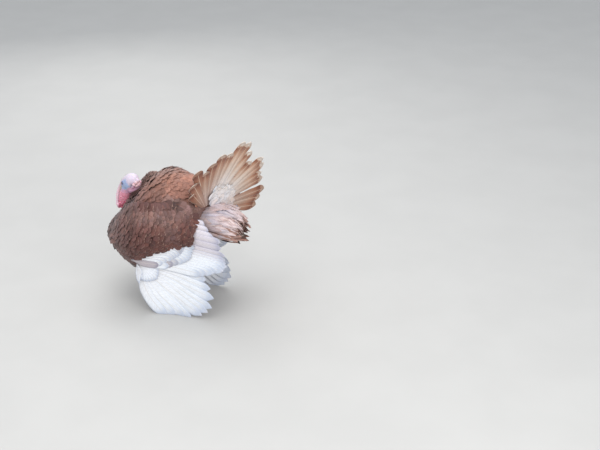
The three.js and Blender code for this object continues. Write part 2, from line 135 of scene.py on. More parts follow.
# height, radius, number and half angle of each row round the throat's foot
CARUNCLE_ROWS = ((459, 11.0, 5, 1.05), (473, 8.0, 7, 1.3))

WRIST = np.array([-6.0, 272.0])  # fore-and-aft place and height
FIRST_DROOP, BOW = math.radians(68), math.radians(24)
SECONDARY_BASE_Y, SECONDARY_BASE_Z = [0, 50, 95, 135, 165], [282, 322, 356, 396, 466]
ARM_FRONT, ARM_REAR = -158, 262
ARM_LOWER = [398, 338, 324, 350, 376, 396, 430]
ARM_UPPER = [450, 520, 556, 574, 580, 570, 520]
# shoulder, a place on the upper arm, elbow, a place on the forearm, and wrist
ARM_BONES_Y = np.array([-80.0, 60.0, 165.0, 85.0, 0.0])
ARM_BONES_Z = np.array([470.0, 480.0, 440.0, 350.0, 290.0])
ARM_BONE_RADII = [16, 14, 12, 11, 8]
ARM_EDGE_DEPTH, ARM_MIDDLE_DEPTH, SHOULDER_LIFT = 9, 24, 23
WING_STRAIGHT_FROM = 165  # behind this the wing's inner face runs straight back
WING_HANG_FRONT, WING_HANG_REAR = 200, 166  # how far out the wing hangs below the trunk's widest line
SPREAD = {
    "left": dict(
        droop=math.radians(6),
        reach=[297, 350, 402, 398, 330],
        tip_y=[300, 385, 440, 434, 410],
        tip_z=[250, 274, 306, 356, 450],
    ),
    "right": dict(
        droop=math.radians(22),
        reach=[300, 340, 376, 378, 322],
        tip_y=[262, 300, 322, 336, 350],
        tip_z=[226, 256, 296, 350, 450],
    ),
}

TAIL_ROOT = np.array([0.0, 266.0, 486.0])
TAIL_LEAN, TAIL_YAW = math.radians(24), math.radians(22)
TAIL_FROM, TAIL_TO = math.radians(-46), math.radians(107)
TAIL_LENGTH = [252, 398, 396, 438, 372, 358, 336, 356, 345]
TAIL_CUP, TAIL_MIDDLE = 26, 390

FOOT_SPREAD, FOOT_Y = 84, 120
# splay in degrees outwards from straight ahead, and length, of each toe
TOES = {"middle": (4, 96), "inner": (-34, 76), "outer": (40, 80), "hind": (172, 52)}
TOE_RADII = [9.6, 7.2, 6.9, 6.0, 5.4]

# ------------------------------------------------------------------ small tools


def unit(v):
    return v / np.maximum(np.linalg.norm(v, axis=-1, keepdims=True), 1e-9)


def mix(a, b, t):
    return a + (b - a) * t


def ease(x, low, high):
    """0 below low, 1 above high, and a smooth S between them."""
    t = np.clip((x - low) / (high - low), 0, 1)
    return t * t * (3 - 2 * t)


def along(values, t):
    """Smooth curve through values at even stations, for an array of places t from 0 to 1."""
    values = np.asarray(values, float)
    last = len(values) - 1
    x = np.clip(np.asarray(t, float), 0, 1) * last
    i = np.minimum(x.astype(int), last - 1)
    f = x - i
    if values.ndim > 1:
        f = f[..., None]
    at = lambda k: values[np.clip(k, 0, last)]
    m0, m1 = (at(i + 1) - at(i - 1)) / 2, (at(i + 2) - at(i)) / 2
    ends = (2 * f**3 - 3 * f**2 + 1) * at(i) + (f**3 - 2 * f**2 + f) * m0
    return ends + (3 * f**2 - 2 * f**3) * at(i + 1) + (f**3 - f**2) * m1


def scattered(cell, seed):
    """A repeatable number from 0 to 1 for each whole-numbered cell."""
    c = cell.astype(np.int64).astype(np.uint64)
    h = c[..., 0] * np.uint64(73856093) ^ c[..., 1] * np.uint64(19349663) ^ c[..., 2] * np.uint64(83492791)
    h = (h ^ np.uint64(seed * 2654435761 + 97)) & np.uint64(0xFFFFFFFF)
    for _ in range(2):
        h = ((h >> np.uint64(15)) ^ h) * np.uint64(2246822519) & np.uint64(0xFFFFFFFF)
    return ((h >> np.uint64(13)) ^ h).astype(float) / 0xFFFFFFFF


def clouds(p, size, seed):
    """Soft noise from 0 to 1: the scattered numbers at a lattice's corners, eased between them."""
    x = np.asarray(p, float) / size
    base = np.floor(x)
    f = x - base
    f = f * f * (3 - 2 * f)
    total = 0.0
    for dx in (0, 1):
        for dy in (0, 1):
            for dz in (0, 1):
                corner = np.array([dx, dy, dz])
                weight = np.prod(np.where(corner == 1, f, 1 - f), axis=-1)
                total = total + weight * scattered(base + corner, seed)
    return total


def warts(p, size, seed):
    """Rounded lumps: 1 at the heart of each lump and 0 midway between lumps, which lie about size apart."""
    x = np.asarray(p, float) / size
    base = np.floor(x)
    nearest = np.full(x.shape[:-1], 9.0)
    for dx in (-1, 0, 1):
        for dy in (-1, 0, 1):
            for dz in (-1, 0, 1):
                cell = base + np.array([dx, dy, dz])
                heart = cell + np.stack([scattered(cell, seed + k) for k in range(3)], -1)
                nearest = np.minimum(nearest, np.linalg.norm(x - heart, axis=-1))
    return np.clip(1 - (nearest / 0.75) ** 2, 0, 1)


def srgb(*rgb):
    """Screen colour, 0 to 255, as the linear colour that shaders use."""
    c = np.array(rgb, float) / 255
    return np.where(c <= 0.04045, c / 12.92, ((c + 0.055) / 1.055) ** 2.4)


# ------------------------------------------------------------------ the forms under and over the plumage

_turn, _nod = Matrix.Rotation(HEAD_TURN, 3, "Z"), Matrix.Rotation(HEAD_NOD, 3, "X")
HEAD_AXES = np.array(_turn @ _nod)


def on_head(p):
    return np.asarray(p, float) @ HEAD_AXES.T + HEAD_CENTRE


def in_head(p):
    """A place on the bird, in the head's own frame, which faces -Y."""
    return (np.asarray(p, float) - HEAD_CENTRE) @ HEAD_AXES


_eyes = [np.array(corner) for side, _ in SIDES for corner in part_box(f"eye_{side}")]
ORIGIN = np.mean(_eyes, 0) - on_head([0, EYE[1], EYE[2]]) * MM


def to_scene(p):
    return np.asarray(p, float) * MM + ORIGIN


def trunk_section(y, inset=0.0):
    """Height of the widest line, rise, drop and half width of the trunk at fore-and-aft places."""
    s = np.clip((y - TRUNK_MIDDLE) / (TRUNK_HALF - inset), -1, 1)
    around = np.sqrt(np.maximum(0, 1 - s * s))
    t = (s + 1) / 2
    return (
        along(TRUNK_AXIS, t),
        *(around * (along(v, t) - inset) for v in (TRUNK_RISE, TRUNK_DROP, TRUNK_WIDE)),
    )


def trunk_point(s, a, inset=0.0):
    """The trunk's egg: s runs from breast to rump and a round it from the bird's left, over the back."""
    y = TRUNK_MIDDLE + (TRUNK_HALF - inset) * s
    axis, rise, drop, half = trunk_section(y, inset)
    lift = np.where(np.sin(a) > 0, rise, drop)
    return np.stack([half * np.cos(a), y, axis + lift * np.sin(a)], -1)


def path_frame(path, t, across=(1.0, 0.0, 0.0)):
    """Centre, and the two directions square to a path at places t; the first lies as near to across as it
    can."""
    centre = along(path, t)
    ahead = unit(along(path, np.minimum(t + STEP, 1)) - along(path, np.maximum(t - STEP, 0)))
    second = unit(np.cross(ahead, np.asarray(across, float)))
    return centre, unit(np.cross(second, ahead)), second, ahead


def pipe_point(path, radii, t, a, inset=0.0, flat=1.0, across=(1.0, 0.0, 0.0)):
    """A round-ended pipe: places from 0 to 1 run along the path, and past either end the radius falls off
    as a dome."""
    core = np.clip(t, 0, 1)
    past = np.clip(np.abs(t - core) * 5, 0, 1)
    centre, first, second, ahead = path_frame(path, core, across)
    r = np.maximum(along(radii, core) - inset, 0.5)
    dome = np.sqrt(np.maximum(0, 1 - past**2))
    centre = centre + ahead * (np.sign(t - core) * past * r * DOME)[..., None]
    return (
        centre + first * (r * dome * np.cos(a))[..., None]
        + second * (r * dome * flat * np.sin(a))[..., None]
    )


def soft_max(a, b, blend):
    return (a + b + np.hypot(a - b, blend)) / 2


def wing_out(y, z):
    """How far out the wing lies at a fore-and-aft place and height."""
    axis, rise, drop, half = trunk_section(np.minimum(y, WING_STRAIGHT_FROM))
    over = np.clip((z - axis) / np.where(z > axis, rise, drop), -1, 0.98)
    plumage = half * np.sqrt(1 - over * over)
    hang = mix(WING_HANG_FRONT, WING_HANG_REAR, ease(y, 0, 180)) * (1 - ease(z - axis, 0, 110))
    return soft_max(plumage + 5, hang, 14)


def on_wing(side, y, z, out=0.0):
    return np.stack([side * (wing_out(y, z) + out), y, z], -1)


def arm_lift(u, v):
    """The arm's depth at a place on it, and how far its inner face stands off the wing's own surface."""
    depth = ARM_EDGE_DEPTH + ARM_MIDDLE_DEPTH * np.sin(np.pi * u) * np.sin(np.pi * v)
    return depth, SHOULDER_LIFT * ease(u, 0, 0.3) * (1 - ease(v, 0.3, 0.95))


def arm_point(side, u, v, share=1.0):
    """The feathered arm: u runs back along it and v up it; share is the depth from its inner face to its
    outer one."""
    depth, lift = arm_lift(u, v)
    y = mix(ARM_FRONT, ARM_REAR, u)
    return on_wing(side, y, mix(along(ARM_LOWER, u), along(ARM_UPPER, u), v), lift + depth * share)


TAIL_BACK = np.array([math.sin(TAIL_YAW), math.cos(TAIL_YAW), 0.0]) * math.cos(TAIL_LEAN)
TAIL_BACK[2] = -math.sin(TAIL_LEAN)
TAIL_RIGHT = np.array([-math.cos(TAIL_YAW), math.sin(TAIL_YAW), 0.0])
TAIL_UP = -np.cross(TAIL_RIGHT, TAIL_BACK)


def fan_point(angle, distance, across=0.0, offset=0.0):
    """The cupped fan: angle from upright towards the bird's right, distance from the root, and a step
    across it."""
    up = distance * np.cos(angle) - across * np.sin(angle)
    right = distance * np.sin(angle) + across * np.cos(angle)
    curl = TAIL_CUP * (np.hypot(up, right) / TAIL_MIDDLE) ** 2
    return (
        TAIL_ROOT + up[..., None] * TAIL_UP + right[..., None] * TAIL_RIGHT
        + (curl + offset)[..., None] * TAIL_BACK
    )


# ------------------------------------------------------------------ meshes


def sheet_faces(rows, cols, count=1, closed=False):
    """Quads of count grids of rows by cols points; closed joins the last column to the first."""
    i, j = np.meshgrid(np.arange(rows - 1), np.arange(cols if closed else cols - 1), indexing="ij")
    k = (j + 1) % cols
    quad = np.stack([i * cols + j, i * cols + k, (i + 1) * cols + k, (i + 1) * cols + j], -1).reshape(-1, 4)
    return (quad[None] + (np.arange(count) * rows * cols)[:, None, None]).reshape(-1, 4)


def add_mesh(name, points, quads, triangles=(), uv=None, values=None, material=None, scene=True):
    """A smooth object from points, quads and triangles, with a map and named values at its points."""
    points = np.asarray(points, float).reshape(-1, 3)
    if scene:
        points = to_scene(points)
        points[:, 2] = np.maximum(points[:, 2], FLOOR_GAP)
    quads = np.asarray(quads, np.int64).reshape(-1, 4)
    triangles = np.asarray(triangles, np.int64).reshape(-1, 3)
    corners = np.concatenate([quads.ravel(), triangles.ravel()]).astype(np.int32)
    starts = np.concatenate(
        [np.arange(len(quads)) * 4, len(quads) * 4 + np.arange(len(triangles)) * 3]
    ).astype(np.int32)
    mesh = bpy.data.meshes.new(name)
    mesh.vertices.add(len(points))
    mesh.vertices.foreach_set("co", points.astype(np.float32).ravel())
    mesh.loops.add(len(corners))
    mesh.loops.foreach_set("vertex_index", corners)
    mesh.polygons.add(len(starts))
    mesh.polygons.foreach_set("loop_start", starts)
    mesh.update(calc_edges=True)
    mesh.polygons.foreach_set("use_smooth", np.ones(len(starts), bool))
    if uv is not None:
        layer = mesh.uv_layers.new(name=MAP)
        layer.data.foreach_set("uv", np.asarray(uv, np.float32).reshape(-1, 2)[corners].ravel())
    for key, value in (values or {}).items():
        value = np.asarray(value, np.float32).reshape(len(points), -1)
        if key in ("plume", "flesh"):
            value = np.concatenate([value, np.ones((len(value), 1), np.float32)], 1)
            mesh.attributes.new(key, "FLOAT_COLOR", "POINT").data.foreach_set("color", value.ravel())
        else:
            mesh.attributes.new(key, "FLOAT_VECTOR", "POINT").data.foreach_set("vector", value.ravel())
    mesh.update()
    thing = bpy.data.objects.new(name, mesh)
    bpy.context.scene.collection.objects.link(thing)
    if material is not None:
        mesh.materials.append(material)
    return thing


def finish_piece(piece, replaced=()):
    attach(piece, "root")
    if replaced:
        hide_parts(*replaced)
    return piece


def closed_grid(points):
    """Points (rows, cols, 3) of a surface closed round its columns, with a pole at each end: points, quads,
    triangles."""
    rows, cols = points.shape[:2]
    poles = np.stack([points[0].mean(0), points[-1].mean(0)])
    quads = sheet_faces(rows, cols, closed=True)
    j = np.arange(cols)
    k = (j + 1) % cols
    start, end = rows * cols, rows * cols + 1
    last = (rows - 1) * cols
    caps = np.concatenate(
        [np.stack([k, j, np.full(cols, start)], -1), np.stack([last + j, last + k, np.full(cols, end)], -1)]
    )
    flat = np.concatenate([points.reshape(-1, 3), poles])
    a, b, c = (flat[quads[:, n]] for n in range(3))
    if np.einsum("ij,ij->", a - flat.mean(0), np.cross(b - flat.mean(0), c - flat.mean(0))) < 0:
        quads, caps = quads[:, ::-1], caps[:, ::-1]
    return flat, quads, caps


def ring(count):
    return np.arange(count) * 2 * np.pi / count


def pipe_grid(path, radii, rows, cols, inset=0.0, flat=1.0, across=(1.0, 0.0, 0.0)):
    """Points of a round-ended pipe, with four more rows of them over each end's dome."""
    start, end = -0.2 * np.cos(np.linspace(0.15, 1.4, 4)), 1 + 0.2 * np.sin(np.linspace(0.17, 1.45, 4))
    t = np.concatenate([start, np.linspace(0, 1, rows), end])
    tt, aa = np.meshgrid(t, ring(cols), indexing="ij")
    return pipe_point(np.asarray(path, float), radii, tt, aa, inset, flat, across)


# ------------------------------------------------------------------ colours


def plumage_colour(p, seed=5):
    """The red-brown coat at places on the body: lighter and warmer over the back, the lightness partly
    painted light from above; duller and more purple on the breast and belly, and darker under the belly as
    painted shade; with soft blotches a few feathers across."""
    s = bpy.context.scene.turkey_colours
    # Lighter over the back: partly painted light falling from above, partly the back's own warmer colour.
    high = ease(p[..., 2], 530, 690)
    front = ease(-p[..., 1], -40, 200)
    # Darker under the belly: the breast's colour darkened to 0.62 low down is painted shade beneath the
    # body.
    low = ease(-p[..., 2], -330, -130)
    colour = mix(np.array(s.flank), np.array(s.back), high[..., None])
    colour = mix(colour, np.array(s.breast), (front * (1 - 0.75 * high))[..., None])
    colour = mix(colour, np.array(s.breast) * 0.62, low[..., None])
    streaks = clouds(p * np.array([0.35, 1.2, 0.35]), 40, seed) - 0.5
    grey = ease(clouds(p, 75, seed + 1), 0.5, 0.8)[..., None]
    colour = mix(colour, np.array(s.greyed), 0.55 * grey)
    blade = np.exp(-(((p[..., 1] - 195) / 45) ** 2) - ((p[..., 2] - 552) / 34) ** 2)[..., None]
    colour = mix(colour, np.array(s.greyed) * 1.05, 0.6 * blade)
    return colour * (1 + mix(0.35, 0.55, high) * streaks)[..., None]


def throat_folds(p):
    """Sagging folds across the throat: 1 along each ridge and 0 in the furrows, which lie 9.5 mm apart."""
    sag = p[..., 2] + 0.35 * p[..., 0] + 5 * clouds(p * np.array([0.4, 0.4, 1.0]), 14, 56)
    return 1 - np.abs(2 * ((sag / 9.5) % 1) - 1) ** 1.6


def throat_foot(p):
    """1 on the lumpy foot of the throat, 0 on the folds above it."""
    return 1 - ease(p[..., 2], 478, 500)


def snood_share(p, near=1.5, far=4.0):
    """1 on the snood, falling to 0 between the near and far distances from its surface."""
    return 1 - ease(path_distance(p, on_head(SNOOD_PATH), SNOOD_RADII), near, far)


def leg_colour(p):
    pale = clouds(p, 9, 31)[..., None]
    return mix(srgb(150, 104, 92), srgb(196, 160, 146), pale)


def head_colour(p):
    """Bare skin by place: white crown, pale blue round the eye, mauve behind the jaw, pink nape and snood,
    and deeper pink down the throat with pale folds."""
    s = bpy.context.scene.turkey_colours
    q = in_head(p)
    x, y, z = q[..., 0], q[..., 1], q[..., 2]
    fine = clouds(p, 4, 41)[..., None]
    broad = clouds(p, 11, 42)
    crown, blue, red = np.array(s.crown), np.array(s.eye_blue), np.array(s.wattle)
    colour = mix(crown, srgb(214, 186, 204), 0.45 * fine)
    cheek = ease(-z + 5 * broad, -19, -10) * ease(-y + 6 * broad, -30, -14) * ease(z, -30, -20)
    colour = mix(colour, mix(blue, srgb(176, 196, 226), 0.7 * fine), cheek[..., None])
    mauve = np.exp(-(((y - 40) / 13) ** 2) - ((z + 24) / 11) ** 2)
    colour = mix(colour, srgb(124, 106, 130), (0.85 * mauve)[..., None])
    nape = ease(y + 5 * broad, 38, 56) * ease(-z, 10, 24)
    colour = mix(colour, mix(srgb(214, 160, 166), srgb(240, 208, 208), fine), (0.9 * nape)[..., None])
    jaw = np.maximum(ease(-z + 6 * broad, 27, 37), ease(-p[..., 2] - 5 * broad, -563, -554)) * (1 - nape)
    colour = mix(colour, mix(srgb(204, 166, 192), srgb(216, 154, 174), fine), jaw[..., None])
    lids = 0.0
    for _, side in SIDES:
        d = q - EYE * np.array([side, 1, 1])
        far = np.hypot(d[..., 1] / LID_LONG, d[..., 2] / LID_HIGH)
        lids = np.maximum(lids, (1 - ease(np.abs(far - 7.2), 1.0, 3.0)) * (x * side > 12))
    colour = mix(colour, srgb(112, 124, 168), (0.7 * lids)[..., None])
    ridge = ease(throat_folds(p), 0.35, 0.95)[..., None]
    lumps = warts(p, 8.5, 61)[..., None]
    low = throat_foot(p)[..., None]
    throat = mix(red * 0.9, red, fine)
    throat = mix(throat, srgb(240, 190, 202), mix(0.75 * ridge, 0.75 * ease(lumps, 0.4, 0.9), low))
    neck = ease(-p[..., 2] - 5 * broad, -546, -534)
    colour = mix(colour, throat, neck[..., None])
    snood = mix(srgb(222, 176, 190), srgb(240, 214, 222), fine)
    return mix(colour, snood, snood_share(p)[..., None])


# ------------------------------------------------------------------ materials


class Shader:
    """A material and short ways to add nodes to it; every value may be a number or another node's
    output."""

    def __init__(self, name):
        self.material = bpy.data.materials.new(name)
        self.material.use_nodes = True
        self.tree = self.material.node_tree
        self.tree.nodes.clear()
        self.surface = self.tree.nodes.new("ShaderNodeBsdfPrincipled")
        out = self.tree.nodes.new("ShaderNodeOutputMaterial")
        self.tree.links.new(self.surface.outputs[0], out.inputs[0])

    def node(self, kind, values=(), **settings):
        made = self.tree.nodes.new("ShaderNode" + kind)
        for key, value in settings.items():
            setattr(made, key, value)
        for key, value in dict(values).items():
            self.set(made.inputs[key], value)
        return made

    def set(self, socket, value):
        if isinstance(value, bpy.types.NodeSocket):
            self.tree.links.new(value, socket)
        elif value is not None:
            socket.default_value = value

    def math(self, operation, a, b=None, c=None):
        return self.node("Math", {0: a, 1: b, 2: c}, operation=operation).outputs[0]

    def attribute(self, name):
        return self.node("Attribute", attribute_name=name)

    def split(self, vector):
        return self.node("SeparateXYZ", {0: vector}).outputs

    def join(self, x, y, z=0.0):
        return self.node("CombineXYZ", {0: x, 1: y, 2: z}).outputs[0]

    def noise(self, vector, scale, detail=2.0, roughness=0.5):
        values = {"Vector": vector, "Scale": scale, "Detail": detail, "Roughness": roughness}
        return self.node("TexNoise", values).outputs[0]

    def grey(self, value):
        return self.node("CombineColor", {0: value, 1: value, 2: value}).outputs[0]

    def step(self, value, low, high, to_low=0.0, to_high=1.0):
        made = self.node(
            "MapRange", {0: value, 1: low, 2: high, 3: to_low, 4: to_high}, interpolation_type="SMOOTHSTEP"
        )
        return made.outputs[0]

    def blend(self, factor, a, b, mode="MIX"):
        made = self.node("Mix", data_type="RGBA", blend_type=mode)
        for key, value in ((0, factor), (6, a), (7, b)):
            if not isinstance(value, (bpy.types.NodeSocket, float, int)):
                value = (*[float(c) for c in value[:3]], 1.0)
            self.set(made.inputs[key], value)
        return made.outputs[2]

    def ramp(self, value, stops):
        made = self.node("ValToRGB", {0: value})
        elements = made.color_ramp.elements
        while len(elements) < len(stops):
            elements.new(0.5)
        for element, (place, colour) in zip(elements, stops):
            element.position = place
            element.color = (*[float(c) for c in colour[:3]], 1.0)
        return made.outputs[0]

    def finish(self, colour, height=None, distance=0.0005, strength=0.4, **sockets):
        if height is not None:
            bump = self.node("Bump", {"Height": height, "Distance": distance, "Strength": strength})
            self.set(self.surface.inputs["Normal"], bump.outputs[0])
        self.set(self.surface.inputs["Base Color"], colour)
        for key, value in sockets.items():
            self.set(self.surface.inputs[key.replace("_", " ")], value)
        return self.material


WHITE = (1.0, 1.0, 1.0)


def feather_material(
    name, stops, fringe, shaft, streak=0.3, band=0.25, roughness=0.62, shade=(0.35, 0.3, 0.3), sides=None
):
    """Barbs slant from the shaft; colour follows the stops along the feather, under a tint carried at its
    points. A darker band, painted shade where each feather meets the next, and a worn pale fringe follow
    the outline. With sides given, both vanes away from a pale streak along the shaft take that tint. A
    finish that exists already is used again."""
    found = bpy.data.materials.get(name)
    if found:
        return found
    m = Shader(name)
    plume = m.attribute("plume").outputs["Color"]
    across, run, share = m.split(m.attribute("vane").outputs["Vector"])
    rim, own, edge = m.split(m.attribute("marks").outputs["Vector"])
    off = m.math("ABSOLUTE", across)
    barb = m.math("MULTIPLY_ADD", off, -0.85, run)
    half = m.math("SIGN", across)
    row = m.math("MULTIPLY_ADD", own, 37.0, m.math("MULTIPLY", half, 3.7))
    fine_place = m.join(m.math("MULTIPLY", barb, 0.9), m.math("MULTIPLY_ADD", off, 0.06, row))
    coarse_place = m.join(m.math("MULTIPLY", barb, 0.16), m.math("MULTIPLY_ADD", off, 0.05, row))
    fine, coarse = m.noise(fine_place, 1.0, 3.0, 0.6), m.noise(coarse_place, 1.0, 2.0, 0.55)
    worn = m.math("SUBTRACT", coarse, 0.5)
    place = m.math("MULTIPLY_ADD", worn, 0.14, share)
    colour = m.blend(1.0, m.ramp(place, stops), plume, "MULTIPLY")
    grain = m.math("MULTIPLY_ADD", coarse, 0.5, m.math("MULTIPLY", fine, 0.5))
    grain = m.step(grain, 0.3, 0.72, 1 - streak, 1 + streak * 0.6)
    colour = m.blend(1.0, colour, m.grey(grain), "MULTIPLY")
    if sides:
        away = m.step(m.math("MULTIPLY_ADD", worn, 12.0, off), 6.0, 15.0)
        beside = m.math("MULTIPLY", away, m.step(share, 0.25, 0.7))
        colour = m.blend(beside, colour, m.blend(1.0, colour, sides, "MULTIPLY"))
    # The ragged outline places both the band of painted shade (band, in the shade colour) and the worn pale
    # fringe.
    wear_and_shade_rim = m.math("MULTIPLY_ADD", worn, 0.3, rim)
    dark = m.math("MULTIPLY", m.step(wear_and_shade_rim, 0.52, 0.8), band)
    colour = m.blend(dark, colour, m.blend(1.0, colour, shade, "MULTIPLY"))
    pale = m.math("MULTIPLY", m.step(wear_and_shade_rim, 0.8, 0.97), edge)
    colour = m.blend(pale, colour, fringe)
    line = m.math("MULTIPLY", m.step(off, 0.5, 1.6, 0.75, 0.0), m.step(share, 0.86, 0.97, 1.0, 0.0))
    colour = m.blend(line, colour, shaft)
    height = m.math("ADD", fine, m.math("MULTIPLY", line, 0.9))
    return m.finish(
        colour, height, 0.0007, 0.5, Roughness=roughness, Specular_IOR_Level=0.3, Sheen_Weight=0.12
    )


def skin_material():
    m = Shader("bare skin and scales")
    place = m.node("TexCoord").outputs["Object"]
    flesh = m.attribute("flesh").outputs["Color"]
    fine = m.noise(place, 900.0, 4.0, 0.6)
    veins = m.noise(place, 260.0, 3.0, 0.55)
    shade = m.step(m.math("MULTIPLY_ADD", fine, 0.5, m.math("MULTIPLY", veins, 0.5)), 0.3, 0.7, 0.8, 1.12)
    colour = m.blend(1.0, flesh, m.grey(shade), "MULTIPLY")
    pits = m.node("TexVoronoi", {"Vector": place, "Scale": 420.0}).outputs[0]
    height = m.math("MULTIPLY_ADD", fine, 0.5, pits)
    return m.finish(
        colour, height, 0.0006, 0.5, Roughness=0.48, Specular_IOR_Level=0.42, Subsurface_Weight=0.08,
        Subsurface_Scale=0.003
    )


def horn_material(name, light, dark, roughness=0.35, scale=160.0):
    """Layered horn: long darker growth lines over cloudy staining between the light and dark colours."""
    m = Shader(name)
    place = m.node("TexCoord").outputs["Object"]
    lines = m.noise(m.node("Mapping", {0: place, 3: (1.0, 1.0, 5.0)}).outputs[0], scale * 3, 3.0, 0.6)
    cloud = m.noise(place, scale, 3.0, 0.5)
    colour = m.blend(m.step(cloud, 0.3, 0.7), light, dark)
    colour = m.blend(m.step(lines, 0.45, 0.75, 0.0, 0.35), colour, dark)
    return m.finish(colour, lines, 0.0003, 0.5, Roughness=roughness, Specular_IOR_Level=0.5)


def bristle_material():
    m = Shader("beard bristle")
    place = m.node("TexCoord").outputs["Object"]
    tone = m.noise(place, 90.0, 2.0)
    colour = m.blend(m.step(tone, 0.35, 0.7), srgb(20, 16, 15), srgb(52, 40, 34))
    return m.finish(
        colour, m.noise(place, 1500.0, 2.0), 0.0003, 0.4, Roughness=0.42, Specular_IOR_Level=0.5
    )


def eye_material():
    """Dark brown iris round a black pupil, by the ball's own map, whose V runs from the pupil back."""
    m = Shader("wet eye")
    u, v, _ = m.split(m.node("UVMap", uv_map=MAP).outputs[0])
    fibres = m.noise(m.join(m.math("MULTIPLY", u, 40.0), m.math("MULTIPLY", v, 3.0)), 1.0, 3.0)
    iris = m.blend(m.step(fibres, 0.3, 0.7), srgb(44, 22, 12), srgb(96, 56, 30))
    pupil, socket = (0.003, 0.003, 0.004), (0.05, 0.04, 0.05)
    colour = m.ramp(v, [(0.0, pupil), (0.17, pupil), (0.2, WHITE), (0.36, WHITE), (0.4, socket)])
    colour = m.blend(1.0, colour, iris, "MULTIPLY")
    return m.finish(
        colour, None, Roughness=0.06, Specular_IOR_Level=0.7, Coat_Weight=0.8, Coat_Roughness=0.03
    )


# ------------------------------------------------------------------ settings


def colour_setting(name, description, rgb):
    return bpy.props.FloatVectorProperty(
        name=name, description=description, default=tuple(float(c) for c in srgb(*rgb)),
        subtype="COLOR", size=3, min=0, max=1
    )


class TurkeyColours(bpy.types.PropertyGroup):
    """Colours of the coat and the bare skin."""

    back: colour_setting("Back", "Feathers over the back and shoulders", (166, 118, 100))
    flank: colour_setting("Flank", "Feathers on the sides and arms", (120, 82, 74))
    breast: colour_setting("Breast", "Feathers on the breast and belly", (118, 88, 84))
    greyed: colour_setting("Greyed patches", "Worn, greyer feathers among the others", (136, 112, 106))
    crown: colour_setting("Crown", "Bare skin on top of the head", (215, 204, 217))
    eye_blue: colour_setting("Eye skin", "Bare skin round the eye", (164, 178, 216))
    wattle: colour_setting("Wattle", "Bare skin of the throat", (218, 112, 136))
    floor: colour_setting("Floor", "The plain floor", (196, 194, 190))


class TurkeySizes(bpy.types.PropertyGroup):
    """Sizes of the coat."""

    coat_depth: bpy.props.FloatProperty(
        name="Coat depth", description="From the skin to the feather tips on the trunk", default=0.024,
        min=0.01, max=0.03, unit="LENGTH"
    )
    feather_length: bpy.props.FloatProperty(
        name="Feather length", description="Length of a body feather", default=0.078, min=0.04,
        max=0.12, unit="LENGTH"
    )
    feather_width: bpy.props.FloatProperty(
        name="Feather width", description="Width of a body feather", default=0.045, min=0.02, max=0.08,
        unit="LENGTH"
    )
    body_feathers: bpy.props.IntProperty(
        name="Body feathers", description="Feathers laid over the whole trunk", default=2300, min=800,
        max=2600
    )
    ruffle: bpy.props.FloatProperty(
        name="Ruffle", description="How unevenly the feathers lie", default=0.08, min=0, max=0.5,
        subtype="FACTOR"
    )


# ------------------------------------------------------------------ skin


def smoothed_by_voxels(name, forms, size):
    """Closed forms (points, quads, triangles) joined and remeshed into one skin with cells of the given
    size."""
    points, quads, triangles, start = [], [], [], 0
    for p, q, t in forms:
        points.append(p)
        quads.append(q + start)
        triangles.append(t + start)
        start += len(p)
    thing = add_mesh(name, np.concatenate(points), np.concatenate(quads), np.concatenate(triangles))
    remesh = thing.modifiers.new("join", "REMESH")
    remesh.mode, remesh.voxel_size = "VOXEL", size * MM
    smooth = thing.modifiers.new("soften", "SMOOTH")
    smooth.factor, smooth.iterations = 0.5, 3
    return thing


def applied(thing):
    """The object's mesh with its modifiers worked in."""
    graph = bpy.context.evaluated_depsgraph_get()
    mesh = bpy.data.meshes.new_from_object(thing.evaluated_get(graph))
    thing.modifiers.clear()
    old = thing.data
    thing.data = mesh
    bpy.data.meshes.remove(old)
    return thing


def skull_grid():
    """The skull: an egg with a wider brow and fuller cheeks, longer towards the bill."""
    t = np.linspace(0.04, 0.96, 46)
    tt, aa = np.meshgrid(t, ring(64), indexing="ij")
    middle, length = (SKULL["front"] + SKULL["back"]) / 2, (SKULL["back"] - SKULL["front"]) / 2
    c = np.cos(np.pi * tt)
    around = np.sin(np.pi * tt)
    cheek = 1 + 0.1 * c
    lift = np.where(np.sin(aa) > 0, SKULL["rise"], SKULL["drop"])
    x = (SKULL["wide"] - 1.2) * around * np.cos(aa) / cheek
    z = (lift - 1.2) * around * np.sin(aa) / cheek
    return on_head(np.stack([x, middle - (length - 1) * c, z], -1))


def ball_grid(r):
    """A ball a little taller than it is wide."""
    tt, aa = np.meshgrid(np.linspace(0.08, 0.92, 12) * np.pi, ring(18), indexing="ij")
    return np.stack([np.sin(tt) * np.cos(aa), np.sin(tt) * np.sin(aa), 1.15 * np.cos(tt)], -1) * r


def caruncle_forms():
    """Large caruncles in two rows round the foot of the throat, and the smaller lumps of the nape: balls of
    uneven size, pulled downwards."""
    forms = []
    rng = np.random.default_rng(12)
    for row, (z, r, number, turn) in enumerate(CARUNCLE_ROWS):
        for a in np.linspace(-turn, turn, number):
            if row == 0:
                middle = np.array([26 * np.sin(a), -181 - 12 * np.cos(a), z - 8 * np.cos(2 * a)])
            else:
                middle = np.array([3 + 24 * np.sin(a), -168 - 16 * np.cos(a), z])
            forms.append(closed_grid(ball_grid(r * rng.uniform(0.8, 1.0)) + middle))
    for x, y, z, r in NAPE_LUMPS:
        forms.append(closed_grid(on_head(ball_grid(r) + np.array([x, y, z], float))))
    return forms


def toe_path(name, side):
    """Middle line of a toe, from the foot's middle to the claw, sinking as the toe thins."""
    splay, length = math.radians(TOES[name][0]), TOES[name][1]
    reach = length * np.array([0, 0.3, 0.6, 1])
    height = [12 if name == "hind" else 14, 9.4, 6.4, 5.2]
    across, back = FOOT_SPREAD + reach * math.sin(splay), FOOT_Y - reach * math.cos(splay)
    return np.stack([side * across, back, height], -1)


def mirrored(path, side):
    return np.asarray(path, float) * np.array([side, 1, 1])


